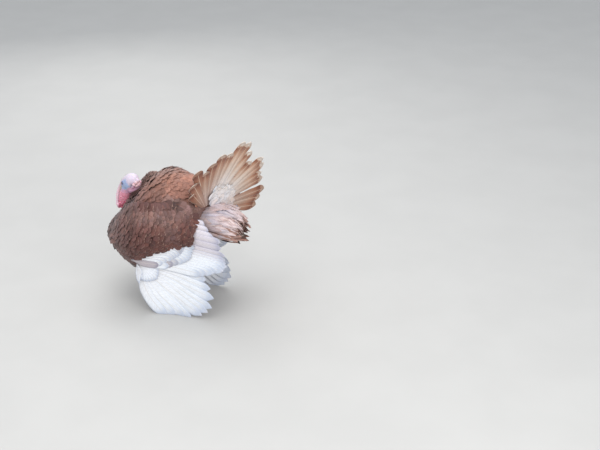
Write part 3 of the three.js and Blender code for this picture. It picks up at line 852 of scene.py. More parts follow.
def leg_forms(side):
    forms = [closed_grid(pipe_grid(mirrored(SHANK_PATH, side), [r - 0.8 for r in SHANK_RADII], 30, 28))]
    for toe in TOES:
        path = toe_path(toe, side)
        forms.append(closed_grid(pipe_grid(path, TOE_RADII, 22, 20, flat=0.9, across=(0.0, 0.0, 1.0))))
    return forms


def scute_height(p):
    """Leg scales: two columns of plates down the shank's front, rings of plates over the toes, and small
    scales elsewhere."""
    side = np.where(p[:, 0] > 0, 1, -1)
    local = p * np.stack([side, np.ones(len(p)), np.ones(len(p))], -1)
    shank = ease(local[:, 2], 20, 30)
    centre = along(SHANK_PATH, 1 - np.clip((local[:, 2] - 20) / 154, 0, 1))
    angle = np.arctan2(local[:, 0] - centre[:, 0], -(local[:, 1] - centre[:, 1]))
    column = np.where(angle > 0, 0.5, 0.0)
    phase = (local[:, 2] / 7.5 + column) % 1
    plate = 1 - np.abs(2 * phase - 1) ** 4
    seam = ease(np.abs(angle), 0.02, 0.16) * ease(1.35 - np.abs(angle), 0, 0.16)
    front = ease(1.5 - np.abs(angle), 0, 0.1)
    small = warts(p, 3.6, 71)
    leg = mix(small * 0.7, plate * seam, front)
    reach = np.hypot(local[:, 0] - FOOT_SPREAD, local[:, 1] - FOOT_Y)
    ringed = 1 - np.abs(2 * ((reach / 5.2) % 1) - 1) ** 4
    toe = mix(small * 0.8, ringed, ease(local[:, 2], 5, 9))
    return mix(toe, leg, shank)


def eye_axis(side):
    return np.array([side * 0.96, -0.22, 0.12])


def eye_relief(q):
    """Draws the skin in the head's frame into a socket, a lid and a crease round each eye, and into the ear
    holes; also tells where the skin stays free of other relief."""
    calm = np.zeros(len(q))
    for _, side in SIDES:
        d = q - EYE * np.array([side, 1, 1])
        axis = eye_axis(side)
        depth = d @ axis
        flat = d - depth[:, None] * axis
        far = np.hypot(flat[:, 1] / LID_LONG, flat[:, 2] / LID_HIGH)
        near = (depth > -6) & (far < 16)
        calm = np.maximum(calm, near * (1 - ease(far, 9, 13)))
        ball = np.sqrt(np.maximum(EYE_RADIUS**2 - np.minimum(far, 6.8) ** 2, 0))
        lid, socket = ball + 0.9 - 0.5 * ease(far, 6.0, 7.5), ball - 2.2
        target = mix(socket, lid, ease(far, 5.5, 6.1))
        crease = 0.9 * np.exp(-(((far - 8.8) / 0.8) ** 2)) - 0.8 * np.exp(-((far - 10.9) ** 2))
        weight = near * (1 - ease(far, 6.6, 8.2))
        q = q + axis * ((target - depth) * weight - crease * near * (1 - weight))[:, None]
        ear = q - np.array([side * 31, 22, -6])
        hole = np.exp(-((np.hypot(ear[:, 1] / 1.3, ear[:, 2]) / 3.0) ** 2)) * (np.abs(ear[:, 0]) < 9)
        q = q - np.array([side, 0, 0]) * (2.6 * hole)[:, None]
    return q, calm


def head_relief(p, normal):
    """Moves bare skin: warts on the cheeks, fine grain on the crown, folds across the throat, wrinkles on
    the nape and rings round the snood, over the relief of eyes and ears."""
    q = in_head(p)
    face = ease(p[:, 2], 528, 552)
    small = warts(p, 3.4, 51) * 0.75 + clouds(p, 5, 52) * 0.5
    crown = ease(q[:, 2], 2, 16)
    cheeks = warts(p, 4.6, 53) * (1 - crown)
    move = face * (0.9 * small + 0.9 * cheeks)
    rope = clouds(p * np.array([0.35, 0.35, 1.0]), 4.2, 54)
    folded = 2.6 * throat_folds(p) + 0.9 * warts(p, 4.2, 57)
    move = move + (1 - face) * mix(folded, 2.8 * warts(p, 8.5, 61) + 1.6 * rope, throat_foot(p))
    wrinkled = np.exp(-(((q[:, 1] - 40) / 22) ** 2)) * ease(-q[:, 2], 4, 16)
    crease = np.abs(np.sin(q[:, 1] * 0.42 + q[:, 2] * 0.3 + 2 * clouds(p, 9, 58)))
    move = move + face * wrinkled * (1.8 * crease - 0.6)
    folds = np.abs(np.sin(q[:, 2] * 1.15 + 3 * clouds(p, 6, 55)))
    move = mix(move, 0.9 * folds + 0.3 * small, snood_share(p))
    q, calm = eye_relief(q)
    return on_head(q) + normal * (move * (1 - calm))[:, None]


def skull_share(p, grow=0.0):
    """1 on the surface of the skull's egg, less inside it and more outside."""
    q = in_head(p)
    rise = np.where(q[..., 2] > 0, SKULL["rise"], SKULL["drop"]) + grow
    across, run = q[..., 0] / (SKULL["wide"] + grow), (q[..., 1] - SKIN_MIDDLE) / (SKIN_HALF + grow)
    return np.sqrt(across**2 + run**2 + (q[..., 2] / rise) ** 2)


def bare_share(p):
    """1 on the bare skin of the head, snood, throat and caruncles, falling to 0 under the first
    feathers."""
    share = np.zeros(len(p))
    near = (p[:, 1] < -30) & (p[:, 2] > 415)
    some = p[near]
    skull = 1 - ease(skull_share(some), 1.25, 1.4)
    from_throat = path_distance(some, THROAT_PATH, THROAT_RADII)
    throat = (1 - ease(from_throat, 14, 20)) * ease(-some[:, 1], 112, 124)
    front = np.maximum(ease(-some[:, 1], 186, 192), snood_share(some, 2, 5))
    share[near] = np.maximum(np.maximum(skull, throat), front)
    return share


TRUNK_CELL = 8  # voxel size under the coat, in millimetres
HEAD_CELLS, LEG_CELLS = (1.6, 1.12), (1.8, 1.6)


def trunk_forms(depth):
    """Trunk, neck and tail root, thighs and the arms' flesh, as closed forms."""
    ss, aa = np.meshgrid(np.sin(np.linspace(-1.5, 1.5, 60)), ring(72), indexing="ij")
    grids = [trunk_point(ss, aa, depth), pipe_grid(NECK_PATH, NECK_RADII, 24, 48, inset=16)]
    grids.append(pipe_grid(TAIL_ROOT_PATH, TAIL_ROOT_RADII, 12, 36))
    for _, side in SIDES:
        grids.append(pipe_grid(mirrored(THIGH_PATH, side), THIGH_FLESH_RADII, 20, 32))
        arm = on_wing(side, ARM_BONES_Y, ARM_BONES_Z, 10.0)
        grids.append(pipe_grid(arm, ARM_BONE_RADII, 30, 20, across=(0.0, 0.1, 1.0)))
    return [closed_grid(grid) for grid in grids]


def head_forms():
    """Skull, throat, snood, nape and caruncles, as closed forms."""
    grids = [skull_grid(), pipe_grid(THROAT_PATH, [r - 3 for r in THROAT_RADII], 24, 40)]
    grids.append(pipe_grid(on_head(SNOOD_PATH), [r - 1 for r in SNOOD_RADII], 30, 20))
    grids.append(pipe_grid(NAPE_PATH, NAPE_RADII, 10, 40))
    return [closed_grid(grid) for grid in grids] + caruncle_forms()


def make_skin():
    """One skin for head, throat, neck, trunk, arms, thighs, shanks and feet: each part is an egg or pipe
    drawn in by the coat's depth, the parts are melted together by voxels fine enough for each, and then
    united."""
    body = trunk_forms(bpy.context.scene.turkey_sizes.coat_depth / MM)
    head, legs = head_forms(), [form for _, side in SIDES for form in leg_forms(side)]
    skin = applied(smoothed_by_voxels("skin", body, TRUNK_CELL))
    for name, forms, (rough, fine) in (("head_skin", head, HEAD_CELLS), ("leg_skin", legs, LEG_CELLS)):
        part = applied(smoothed_by_voxels(name, forms, fine))
        join = skin.modifiers.new(name, "BOOLEAN")
        join.operation, join.solver, join.object = "UNION", "EXACT", part
        applied(skin)
        bpy.data.objects.remove(part)
    weld = skin.modifiers.new("weld", "WELD")
    weld.merge_threshold = 0.0001
    applied(skin)
    skin.data.materials.clear()
    unwrap(skin)
    detail_skin(skin.data)
    return skin


def detail_skin(mesh):
    """Raises the scales, warts, folds and lids on the joined skin, and colours it at its points."""
    count = len(mesh.vertices)
    co, normal = np.zeros(count * 3, np.float32), np.zeros(count * 3, np.float32)
    mesh.vertices.foreach_get("co", co)
    mesh.vertices.foreach_get("normal", normal)
    p, n = (co.reshape(-1, 3) - ORIGIN) / MM, normal.reshape(-1, 3)
    bare, leg = bare_share(p), 1 - ease(p[:, 2], 168, 182)
    moved = p + n * (0.75 * leg * scute_height(p))[:, None]
    is_head = bare > 0.01
    relief = head_relief(p[is_head], n[is_head])
    moved[is_head] = mix(p[is_head], relief, bare[is_head][:, None])
    moved[:, 2] = np.maximum(moved[:, 2], 0.3)
    colour = mix(plumage_colour(p) * 0.55, leg_colour(p), leg[:, None])
    colour[is_head] = mix(colour[is_head], head_colour(p[is_head]), bare[is_head][:, None])
    mesh.vertices.foreach_set("co", to_scene(moved).astype(np.float32).ravel())
    value = np.concatenate([colour, np.ones((count, 1))], 1).astype(np.float32)
    mesh.attributes.new("flesh", "FLOAT_COLOR", "POINT").data.foreach_set("color", value.ravel())
    mesh.polygons.foreach_set("use_smooth", np.ones(len(mesh.polygons), bool))
    mesh.materials.append(skin_material())
    mesh.update()


def unwrap(thing):
    """Unwraps by charts of faces that look the same way."""
    for layer in list(thing.data.uv_layers):
        thing.data.uv_layers.remove(layer)
    thing.data.uv_layers.new(name=MAP)
    bpy.context.view_layer.objects.active = thing
    thing.select_set(True)
    bpy.ops.object.mode_set(mode="EDIT")
    bpy.ops.mesh.select_all(action="SELECT")
    bpy.ops.uv.smart_project(angle_limit=math.radians(70), island_margin=0.002)
    bpy.ops.object.mode_set(mode="OBJECT")
    thing.select_set(False)


_lookup = {}


def root_places(points):
    """Where feather roots fall on the unwrap of the skin: the middle, on that map, of the nearest face of
    the skin."""
    if not _lookup:
        mesh = bpy.data.objects["skin"].data
        mesh.calc_loop_triangles()
        count = len(mesh.loop_triangles)
        tri, loops = np.zeros(count * 3, np.int32), np.zeros(count * 3, np.int32)
        mesh.loop_triangles.foreach_get("vertices", tri)
        mesh.loop_triangles.foreach_get("loops", loops)
        co = np.zeros(len(mesh.vertices) * 3, np.float32)
        mesh.vertices.foreach_get("co", co)
        uv = np.zeros(len(mesh.loops) * 2, np.float32)
        mesh.uv_layers[MAP].data.foreach_get("uv", uv)
        _lookup["tree"] = BVHTree.FromPolygons(co.reshape(-1, 3).tolist(), tri.reshape(-1, 3).tolist())
        _lookup["uv"] = uv.reshape(-1, 2)[loops.reshape(-1, 3)].mean(1)
    found = [_lookup["tree"].find_nearest(Vector(p))[2] for p in to_scene(points).tolist()]
    return _lookup["uv"][np.array(found, int)]


# ------------------------------------------------------------------ feathers


def vane_rows(rows, crowd=1.7):
    """Places along a feather from 0 to 1, crowded towards the tip."""
    return 1 - (1 - np.linspace(0, 1, rows)) ** crowd


def vane_outline(t, root=0.3, widest=0.6, cap=0.78, blunt=0.4, round_by=2.2):
    """Half width along a feather, as a share: narrow at the root, full from its widest place to where the
    cap begins, then rounded off to a blunt tip."""
    rise = mix(root, 1.0, ease(t, 0, widest))
    fall = (1 - np.clip((t - cap) / (1 - cap), 0, 1) ** round_by * (1 - blunt**2)) ** 0.5
    return rise * fall


def lay_feathers(
    root, lie, out, length, width, rng, rows=7, cols=7, lift=20.0, slope=0.07, bend=0.0, flare=1.5,
    cup=0.09, ruffle=None, **outline
):
    """Vanes (count, rows, cols, 3) and their values. Across: width times the outline. Along: length, a
    little shorter towards the edges at the tip. Height: leaves the skin steeply and levels off at lift,
    with a slight slope so that each vane lies over the next; it bends with the body, flares at the tip and
    is cupped across. Each vane is turned, rolled and sized a little at random."""
    count = len(root)
    ruffle = bpy.context.scene.turkey_sizes.ruffle if ruffle is None else ruffle
    spread = lambda scale: rng.normal(0, scale, count)
    each = lambda value: np.broadcast_to(value, count)[:, None, None]
    out = unit(out)
    lie = unit(lie - out * np.sum(lie * out, -1, keepdims=True))
    side = np.cross(lie, out)
    lie = unit(lie + side * spread(ruffle)[:, None])
    side = unit(np.cross(lie, out) + out * spread(ruffle * 0.6)[:, None])
    out = np.cross(side, lie)
    length = each(length) * each(1 + spread(0.08))
    width = each(width) * each(1 + spread(0.07))
    lift, bend, flare = (each(v) for v in (lift, bend, flare))
    t, u = vane_rows(rows)[None, :, None], np.linspace(-1, 1, cols)[None, None, :]
    x = width / 2 * vane_outline(t, **outline) * u
    y = length * (t - 0.09 * u**2 * t**3)
    z = lift * each(1 + spread(0.06)) * (1 - (1 - t) ** 2.1) + length * each(slope + spread(0.014)) * t
    z = z - bend * (length * t) ** 2 / 2 + flare * each(1 + spread(0.5)) * t**5
    z = z - cup * width * u**2 * (0.3 + 0.7 * t) * each(1 + spread(0.35))
    sway = length * each(spread(0.04)) * np.sin(3.1 * t)
    along_it = lambda direction, distance: direction[:, None, None] * distance[..., None]
    points = root[:, None, None] + along_it(side, x + sway) + along_it(lie, y) + along_it(out, z)
    rim = np.clip(np.maximum(np.abs(u) ** 1.6 * (0.2 + 0.78 * t), t**2.2) + 0 * x, 0, 1)
    vane = np.stack([x, y + 0 * x, t + 0 * x], -1)
    own = np.broadcast_to(rng.uniform(0, 1, count)[:, None, None], x.shape)
    return points, vane, rim, own


def feather_values(vane, rim, own, plume, edge):
    """The values that the feather finish reads, for every point."""
    plume = np.broadcast_to(plume[:, None, None], (*rim.shape, 3))
    edge = np.broadcast_to(np.asarray(edge, float).reshape(-1, 1, 1), rim.shape)
    return dict(plume=plume, vane=vane, marks=np.stack([rim, own, edge], -1))


def patches(root_uv, shape):
    """A patch a few thousandths across on the unwrap for each feather, at its root's place."""
    count, rows, cols = shape
    u, t = np.linspace(-0.5, 0.5, cols)[None, None, :], np.linspace(-0.5, 0.5, rows)[None, :, None]
    grid = np.stack(np.broadcast_arrays(u + 0 * t, t + 0 * u), -1) * PATCH
    return np.broadcast_to(root_uv[:, None, None], (count, rows, cols, 2)) + grid


def coat_piece(name, feathers, plume, edge, material, replaced=()):
    """One object from many small feathers."""
    points, vane, rim, own = feathers
    count, rows, cols = rim.shape
    piece = add_mesh(
        name,
        points,
        sheet_faces(rows, cols, count),
        uv=patches(root_places(points[:, 0].mean(1)), rim.shape),
        values=feather_values(vane, rim, own, plume, edge),
        material=material,
    )
    return finish_piece(piece, replaced)


def tone(rng, count, spread=0.14):
    """A lighter or darker tone for each feather, a little warmer or cooler."""
    value = 1 + rng.normal(0, spread, count)
    warm = rng.normal(0, 0.035, count)
    return np.clip(np.stack([value * (1 + warm), value, value * (1 - warm)], -1), 0.45, 1.7)


def flow(p):
    """The lie of the coat: away from the nape, swept back and a little down."""
    away = unit(p - NAPE)
    return away + 0.95 * np.array([0.0, 1.0, -0.12])


def trunk_lattice(count, inset):
    """Even scatter over the trunk's egg by the golden angle, with the outward direction at each place."""
    i = np.arange(count) + 0.5
    s, a = 1 - 2 * i / count, i * GOLDEN
    s = s * 0.995
    p = trunk_point(s, a, inset)
    round_it, back = (
        trunk_point(s, a + STEP, inset) - p, trunk_point(np.clip(s + STEP, -1, 1), a, inset) - p
    )
    out = unit(np.cross(round_it, back))
    out = out * np.sign(np.sum(out * (p - TRUNK_HEART), -1, keepdims=True))
    return p, out


def body_material():
    stops = [(0.0, srgb(150, 140, 136)), (0.3, srgb(190, 180, 176)), (0.5, WHITE), (1.0, WHITE)]
    # The band paints light shade along each feather's outline, where it meets the next.
    return feather_material(
        "chestnut feather", stops, srgb(176, 146, 130), srgb(104, 70, 58), streak=0.26, band=0.15
    )


def make_body_feathers():
    """Broad contour feathers over the whole trunk, raised as in display, each lying over the next behind
    it."""
    sizes = bpy.context.scene.turkey_sizes
    rng = np.random.default_rng(21)
    depth = sizes.coat_depth / MM
    p, out = trunk_lattice(sizes.body_feathers, depth)
    _, y, z = p.T
    neck = path_distance(p, NECK_PATH, NECK_RADII) > -34
    under = path_distance(p, UNDERTAIL_PATH, UNDERTAIL_RADII) > -34
    u = (y - ARM_FRONT) / (ARM_REAR - ARM_FRONT)
    inside_u = (u > 0.1) & (u < 0.9)
    lower, upper = along(ARM_LOWER, u), along(ARM_UPPER, u)
    arm = ~(inside_u & (z > lower + 34) & (z < upper - 44))
    bare = (path_distance(p, THROAT_PATH, THROAT_RADII) > 13) & (skull_share(p) > 1.12)
    keep = neck & under & arm & bare
    p, out = p[keep], out[keep]
    _, y, z = p.T
    near_neck = ease(path_distance(p, THROAT_PATH, THROAT_RADII), 10, 150)
    rear = ease(y, 60, 250) * ease(z, 400, 560)
    scale = mix(0.42, 1.0, near_neck) * mix(1.0, 1.12, rear)
    belly = ease(-z, -280, -170)
    length = sizes.feather_length / MM * scale * mix(1.0, 1.3, belly)
    width = sizes.feather_width / MM * scale
    lift = depth * mix(0.45, 0.8, near_neck) * mix(1.0, 1.5, belly)
    feathers = lay_feathers(
        p, flow(p), out, length, width, rng, lift=lift, slope=0.03, bend=1 / 240, flare=0.6, cup=0.035
    )
    colour = plumage_colour(p + out * depth) * tone(rng, len(p), 0.1)
    edge = np.clip(rng.beta(1.5, 3.2, len(p)) * mix(0.8, 0.4, ease(z, 330, 600)), 0, 1)
    front = y < 10
    for name, part in (("breast_feathers", front), ("back_feathers", ~front)):
        chosen = tuple(v[part] for v in feathers)
        coat_piece(name, chosen, colour[part], edge[part], body_material())


def path_distance(p, path, radii):
    """How far places are outside a pipe, in millimetres; less than 0 within it."""
    t = np.linspace(0, 1, 40)
    centre, r = along(np.asarray(path, float), t), along(radii, t)
    gap = np.linalg.norm(p[:, None] - centre[None], axis=-1) - r[None]
    return gap.min(1)


def pipe_lattice(
    path, radii, count, inset, low=0.0, high=1.16, flat=1.0, across=(1.0, 0.0, 0.0), power=1.0
):
    """Even scatter over a pipe by the golden angle, with directions outward and along it."""
    i = (np.arange(count) + 0.5) / count
    t, a = mix(low, high, i**power), np.arange(count) * GOLDEN
    at = lambda t, a: pipe_point(np.asarray(path, float), radii, t, a, inset, flat, across)
    p, ahead = at(t, a), at(t + STEP, a) - at(t - STEP, a)
    out = unit(np.cross(at(t, a + STEP) - p, ahead))
    centre = along(np.asarray(path, float), np.clip(t, 0, 1))
    out = out * np.sign(np.sum(out * (p - centre), -1, keepdims=True))
    return p, out, unit(ahead), t


def make_neck_feathers():
    """The raised ruff: small narrow feathers behind the bare head, growing broader down to the
    shoulders."""
    rng = np.random.default_rng(22)
    p, out, ahead, _ = pipe_lattice(NECK_PATH, NECK_RADII, 1500, 16, low=0.1, high=1.17, power=0.8)
    q = in_head(p)
    skull = skull_share(p, 2.0)
    throat = path_distance(p, THROAT_PATH, THROAT_RADII)
    trunk_axis, rise, drop, half = trunk_section(p[:, 1])
    over = (p[:, 2] - trunk_axis) / np.where(p[:, 2] > trunk_axis, rise, drop)
    buried = (p[:, 0] / np.maximum(half, 1)) ** 2 + over**2 < 0.62
    keep = (skull > 1.02) & (throat > 12) & ~buried
    p, out, ahead, q = p[keep], out[keep], ahead[keep], q[keep]
    near = 1 - ease(np.linalg.norm(q, axis=-1), 40, 150)
    length, width = mix(46, 17, near), mix(34, 11, near)
    lie = -ahead * 0.5 + 0.7 * unit(p - HEAD_CENTRE) + np.array([0, 0.35, -0.2])
    feathers = lay_feathers(
        p, lie, out, length, width, rng, rows=6, cols=5, lift=mix(13, 8, near), bend=1 / 150, flare=0.8
    )
    colour = plumage_colour(p) * tone(rng, len(p), 0.16) * mix(1.0, 0.8, near)[:, None]
    coat_piece(
        "neck_feathers", feathers, colour, rng.beta(1.5, 3, len(p)), body_material()
    )


def make_thigh_feathers():
    """Soft feathers down each thigh to just above the hock."""
    rng = np.random.default_rng(23)
    sets = []
    for _, side in SIDES:
        p, out, ahead, t = pipe_lattice(
            mirrored(THIGH_PATH, side), THIGH_FLESH_RADII, 330, 0, low=0.0, high=1.02, power=0.75
        )
        small = ease(t, 0.2, 1.0)
        length, width = mix(48, 22, small), mix(34, 12, small)
        short = dict(rows=6, cols=5, lift=mix(8, 2.6, small), bend=1 / 120, flare=0.6)
        sets.append((lay_feathers(p, ahead, out, length, width, rng, **short), p))
    feathers = tuple(np.concatenate(parts) for parts in zip(*(s[0] for s in sets)))
    p = np.concatenate([s[1] for s in sets])
    colour = plumage_colour(p) * tone(rng, len(p)) * 0.9
    coat_piece(
        "thigh_feathers", feathers, colour, rng.beta(1.5, 4, len(p)), body_material()
    )


def make_arm_feathers():
    """Lesser coverts and scapulars over each folded arm, in staggered rows that lie back and down."""
    for label, side in SIDES:
        rng = np.random.default_rng(24 + side)
        rows, cols = 17, 27
        v, u = np.meshgrid((np.arange(rows) + 0.5) / rows, (np.arange(cols) + 0.5) / cols, indexing="ij")
        u = u + (np.arange(rows) % 2)[:, None] * 0.5 / cols
        u, v = (u + rng.normal(0, 0.006, u.shape)).ravel(), (v + rng.normal(0, 0.01, v.shape)).ravel()
        u, v = np.clip(u, 0.005, 0.965), np.clip(v * 0.96 + 0.03, 0.01, 1)
        share = 0.35
        p = arm_point(side, u, v, share)
        back, up = arm_point(side, u + STEP, v, share) - p, arm_point(side, u, v + STEP, share) - p
        out = unit(np.cross(back, up))
        out = out * np.sign(out[:, :1]) * side
        down = mix(0.25, 1.0, ease(-v, -0.75, -0.1))
        lie = np.stack([0 * u, 0.85 + 0 * u, -0.62 * down - 0.05], -1)
        top = ease(v, 0.5, 1.0)
        length, width = mix(44, 56, top), mix(34, 42, top)
        depth, _ = arm_lift(u, v)
        feathers = lay_feathers(p, lie, out, length, width, rng, lift=depth * 0.56, bend=1 / 300, flare=1.2)
        colour = plumage_colour(p) * tone(rng, len(p), 0.17)
        # Painted shade over the arm's rear end and along the front part of its top edge, where it meets the
        # body.
        rim = np.maximum(ease(u, 0.75, 0.95), ease(v, 0.8, 0.95) * (1 - ease(u, 0.7, 0.85)))
        # Darkened towards deep chestnut: a little everywhere and towards the lower edge as the arms' own
        # colour, and fully where the painted shade lies.
        chestnut_and_shade = (0.35 + 0.65 * np.maximum(rim, ease(-v, -0.8, -0.2) * ease(u, 0.05, 0.4)))[:, None]
        colour = mix(colour, colour * np.array([0.62, 0.52, 0.54]), chestnut_and_shade)
        edge = np.clip(rng.beta(1.3, 3.4, len(p)), 0, 1)
        name, replaced = f"wing_{label}_lesser_coverts", (f"wing_{label}_arm",)
        coat_piece(name, feathers, colour, edge, body_material(), replaced)


def plate_feather(
    side, base, tip, outer, inner, out, rows, cols, bow=0.0, cap=0.86, tilt=3.2, thick=0.7, blunt=0.12
):
    """One flight feather on the wing's surface, as a thin closed solid: the middle line runs from base to
    tip in the plane of the wing, bowed sideways; the outer and inner vanes have their own widths, and the
    outer one lies on top."""
    t, u = vane_rows(rows, 1.5)[:, None], np.linspace(-1, 1, cols)[None, :]
    base, tip = np.asarray(base, float), np.asarray(tip, float)
    span = tip - base
    length = np.hypot(*span)
    ahead = span / length
    across = np.array([ahead[1], -ahead[0]])
    outline = vane_outline(t, root=0.22, widest=0.5, cap=cap, blunt=blunt, round_by=2.4)
    w = np.where(u < 0, outer, inner) * outline * u
    run = length * (t - 0.03 * np.abs(u) ** 2.4 * t**6)
    middle = bow * length * np.sin(np.pi * t * 0.9)
    yz = base + ahead * run[..., None] + across * (w + middle)[..., None]
    middle_out = out - tilt * w / max(outer, inner) - 0.8 * u**2
    half_thick = thick / 2 * (1 - 0.8 * np.abs(u) ** 4)
    faces = [on_wing(side, yz[..., 0], yz[..., 1], middle_out + layer * half_thick) for layer in (1, -1)]
    points = np.stack(faces)
    vane = np.stack([w, run + 0 * w, t + 0 * w], -1)
    rim = np.clip(np.maximum(np.abs(u) ** 3 * 0.9, t**4) + 0 * w, 0, 1)
    return points, vane, rim


def solid_feathers(name, made, plume, edge, rng, material, replaced=()):
    """One object from closed two-sided feathers. Each has a patch of its own on the map, side by side in
    rows."""
    points = np.stack([m[0] for m in made])
    count, _, rows, cols, _ = points.shape
    vane, rim = (np.stack([m[k] for m in made]) for k in (1, 2))
    vane, rim = np.repeat(vane[:, None], 2, 1), np.repeat(rim[:, None], 2, 1)
    own = np.broadcast_to(rng.uniform(0, 1, count)[:, None, None, None], rim.shape)
    plume = np.broadcast_to(np.asarray(plume, float)[:, None, None, None], (*rim.shape, 3))
    edge = np.broadcast_to(np.asarray(edge, float).reshape(-1, 1, 1, 1), rim.shape)
    top, half = sheet_faces(rows, cols), rows * cols
    right, left = np.arange(1, rows) * cols + cols - 1, np.arange(rows - 2, 0, -1) * cols
    skirt = np.concatenate([np.arange(cols), right, (rows - 1) * cols + np.arange(cols - 2, -1, -1), left])
    following = np.roll(skirt, -1)
    wall = np.stack([following, skirt, skirt + half, following + half], -1)
    one = np.concatenate([top, top[:, ::-1] + half, wall])
    middle = points[0].reshape(-1, 3)
    a, b, c = (middle[one[:, k]] for k in range(3))
    heart = middle.mean(0)
    if np.einsum("ij,ij->", a - heart, np.cross(b - heart, c - heart)) < 0:
        one = one[:, ::-1]
    quads = (one[None] + (np.arange(count) * 2 * half)[:, None, None]).reshape(-1, 4)
    wide = math.ceil(math.sqrt(count * 4))
    cell = 1 / wide
    u, t = np.linspace(0.04, 0.96, cols), np.linspace(0.02, 0.98, rows)
    patch = np.stack(np.broadcast_arrays(u[None, :] * cell, t[:, None] * cell * 2), -1)
    index = np.arange(count * 2)
    corner = np.stack([(index % wide) * cell, (index // wide) * cell * 2], -1).reshape(count, 2, 1, 1, 2)
    values = dict(plume=plume, vane=vane, marks=np.stack([rim, own, edge], -1))
    piece = add_mesh(name, points, quads, uv=patch[None, None] + corner, values=values, material=material)
    return finish_piece(piece, replaced)


def wing_material():
    stops = [
        (0.0, srgb(226, 226, 230)),
        (0.5, srgb(244, 245, 248)),
        (0.78, srgb(240, 243, 248)),
        (1.0, srgb(216, 221, 231)),
    ]
    # The band and shade paint blue-grey shade along each flight feather's outline, where it lies against
    # the next; the grey fringe paints fainter shade at the very edge.
    return feather_material(
        "white flight feather",
        stops,
        srgb(216, 214, 220),
        srgb(214, 206, 198),
        streak=0.16,
        band=0.5,
        roughness=0.55,
        shade=(0.6, 0.66, 0.78),
    )


def down_from_level(angle):
    """Direction in the wing's plane, as (Y, Z), at an angle below level."""
    return np.array([math.cos(angle), -math.sin(angle)])


def primary_angles(spread, u):
    """How far below level the primary at u points, and the lower angle at which it starts out of the
    wrist."""
    droop = mix(FIRST_DROOP, spread["droop"], u)
    return droop, BOW * (1 - u)


def secondary_line(spread, u):
    """Base and tip of the secondary at u, from 0 at the wrist to 1 at the elbow."""
    base = np.array([along(SECONDARY_BASE_Y, u), along(SECONDARY_BASE_Z, u)], float)
    return base, np.array([along(spread["tip_y"], u), along(spread["tip_z"], u)], float)


def make_primaries(label, side, rng):
    """Ten primaries that fan out from the wrist, each bowed backwards."""
    spread, made, number = SPREAD[label], [], 10
    for i in range(number):
        u = (i + 0.5) / number
        droop, bend = primary_angles(spread, u)
        droop = droop + rng.normal(0, 0.012)
        reach = float(along(spread["reach"], u)) * rng.uniform(0.975, 1.0)
        base, tip = WRIST + 12 * down_from_level(droop + bend), WRIST + reach * down_from_level(droop)
        tip[1] = max(tip[1], 1.0)
        bow = 0.1 * (1 - u) + 0.01
        made.append(
            plate_feather(side, base, tip, 22, 38, 1.0 + 0.25 * i, 26, 9, bow=bow, cap=0.86, blunt=0.3)
        )
    plume = np.ones((number, 3)) * np.linspace(0.97, 1.0, number)[:, None]
    edge = rng.uniform(0.15, 0.5, number)
    name, replaced = f"wing_{label}_primary_quills", (f"wing_{label}_primaries",)
    solid_feathers(name, made, plume, edge, rng, wing_material(), replaced)


def make_secondaries(label, side, rng):
    """Twelve secondaries along the forearm, each lying over the next one out; the innermost are tinted
    pinkish grey, partly their own pale pink and partly painted shade.
    """
    spread, made, number = SPREAD[label], [], 12
    for i in range(number):
        base, tip = secondary_line(spread, (i + 0.5) / number)
        tip = base + (tip - base) * rng.uniform(0.96, 1.0)
        made.append(
            plate_feather(side, base, tip, 18, 29, 11.5 + 0.3 * i, 20, 9, bow=0.02, cap=0.86, blunt=0.35)
        )
    # Pinkish grey on the innermost: partly their own pale pink, partly painted shade.
    tint = mix(np.ones(3), srgb(228, 218, 222), ease(np.linspace(0, 1, number), 0.45, 0.9)[:, None])
    edge = rng.uniform(0.2, 0.6, number)
    name, replaced = f"wing_{label}_secondary_quills", (f"wing_{label}_secondaries",)
    solid_feathers(name, made, tint, edge, rng, wing_material(), replaced)


def primary_coverts(spread, side):
    """Nine coverts over the primaries' roots: each feather with its tint and the strength of its fringe."""
    for i in range(9):
        droop, bend = primary_angles(spread, (i + 0.6) / 10)
        aim = down_from_level(droop + 0.7 * bend)
        reach = 122 - 5 * abs(i - 5)
        made = plate_feather(
            side, WRIST + 8 * aim, WRIST + reach * aim, 13, 22, 7 + 0.3 * i, 12, 7, cap=0.74
        )
        yield made, (0.96, 0.96, 0.97), 0.5


def tertials(side):
    """Three tertials over the innermost secondaries."""
    for i, (base, tip) in enumerate(
        (((226, 464), (376, 455)), ((246, 484), (350, 478)), ((262, 502), (328, 498)))
    ):
        yield plate_feather(
            side, base, tip, 20, 24, 14 - 5 * i, 12, 7, cap=0.7, blunt=0.3
        ), srgb(240, 230, 232), 0.3


def thumb_feathers(side):
    """Three feathers on the thumb, along the wing's front edge."""
    for i in range(3):
        aim = down_from_level(FIRST_DROOP + BOW - 0.16 * i - 0.06)
        base, tip = WRIST + 4 * aim, WRIST + (108 - 22 * i) * aim
        yield plate_feather(
            side, base, tip, 10, 15, 12 + 1.2 * i, 12, 7, cap=0.6, blunt=0.2
        ), (0.93, 0.93, 0.95), 0.2


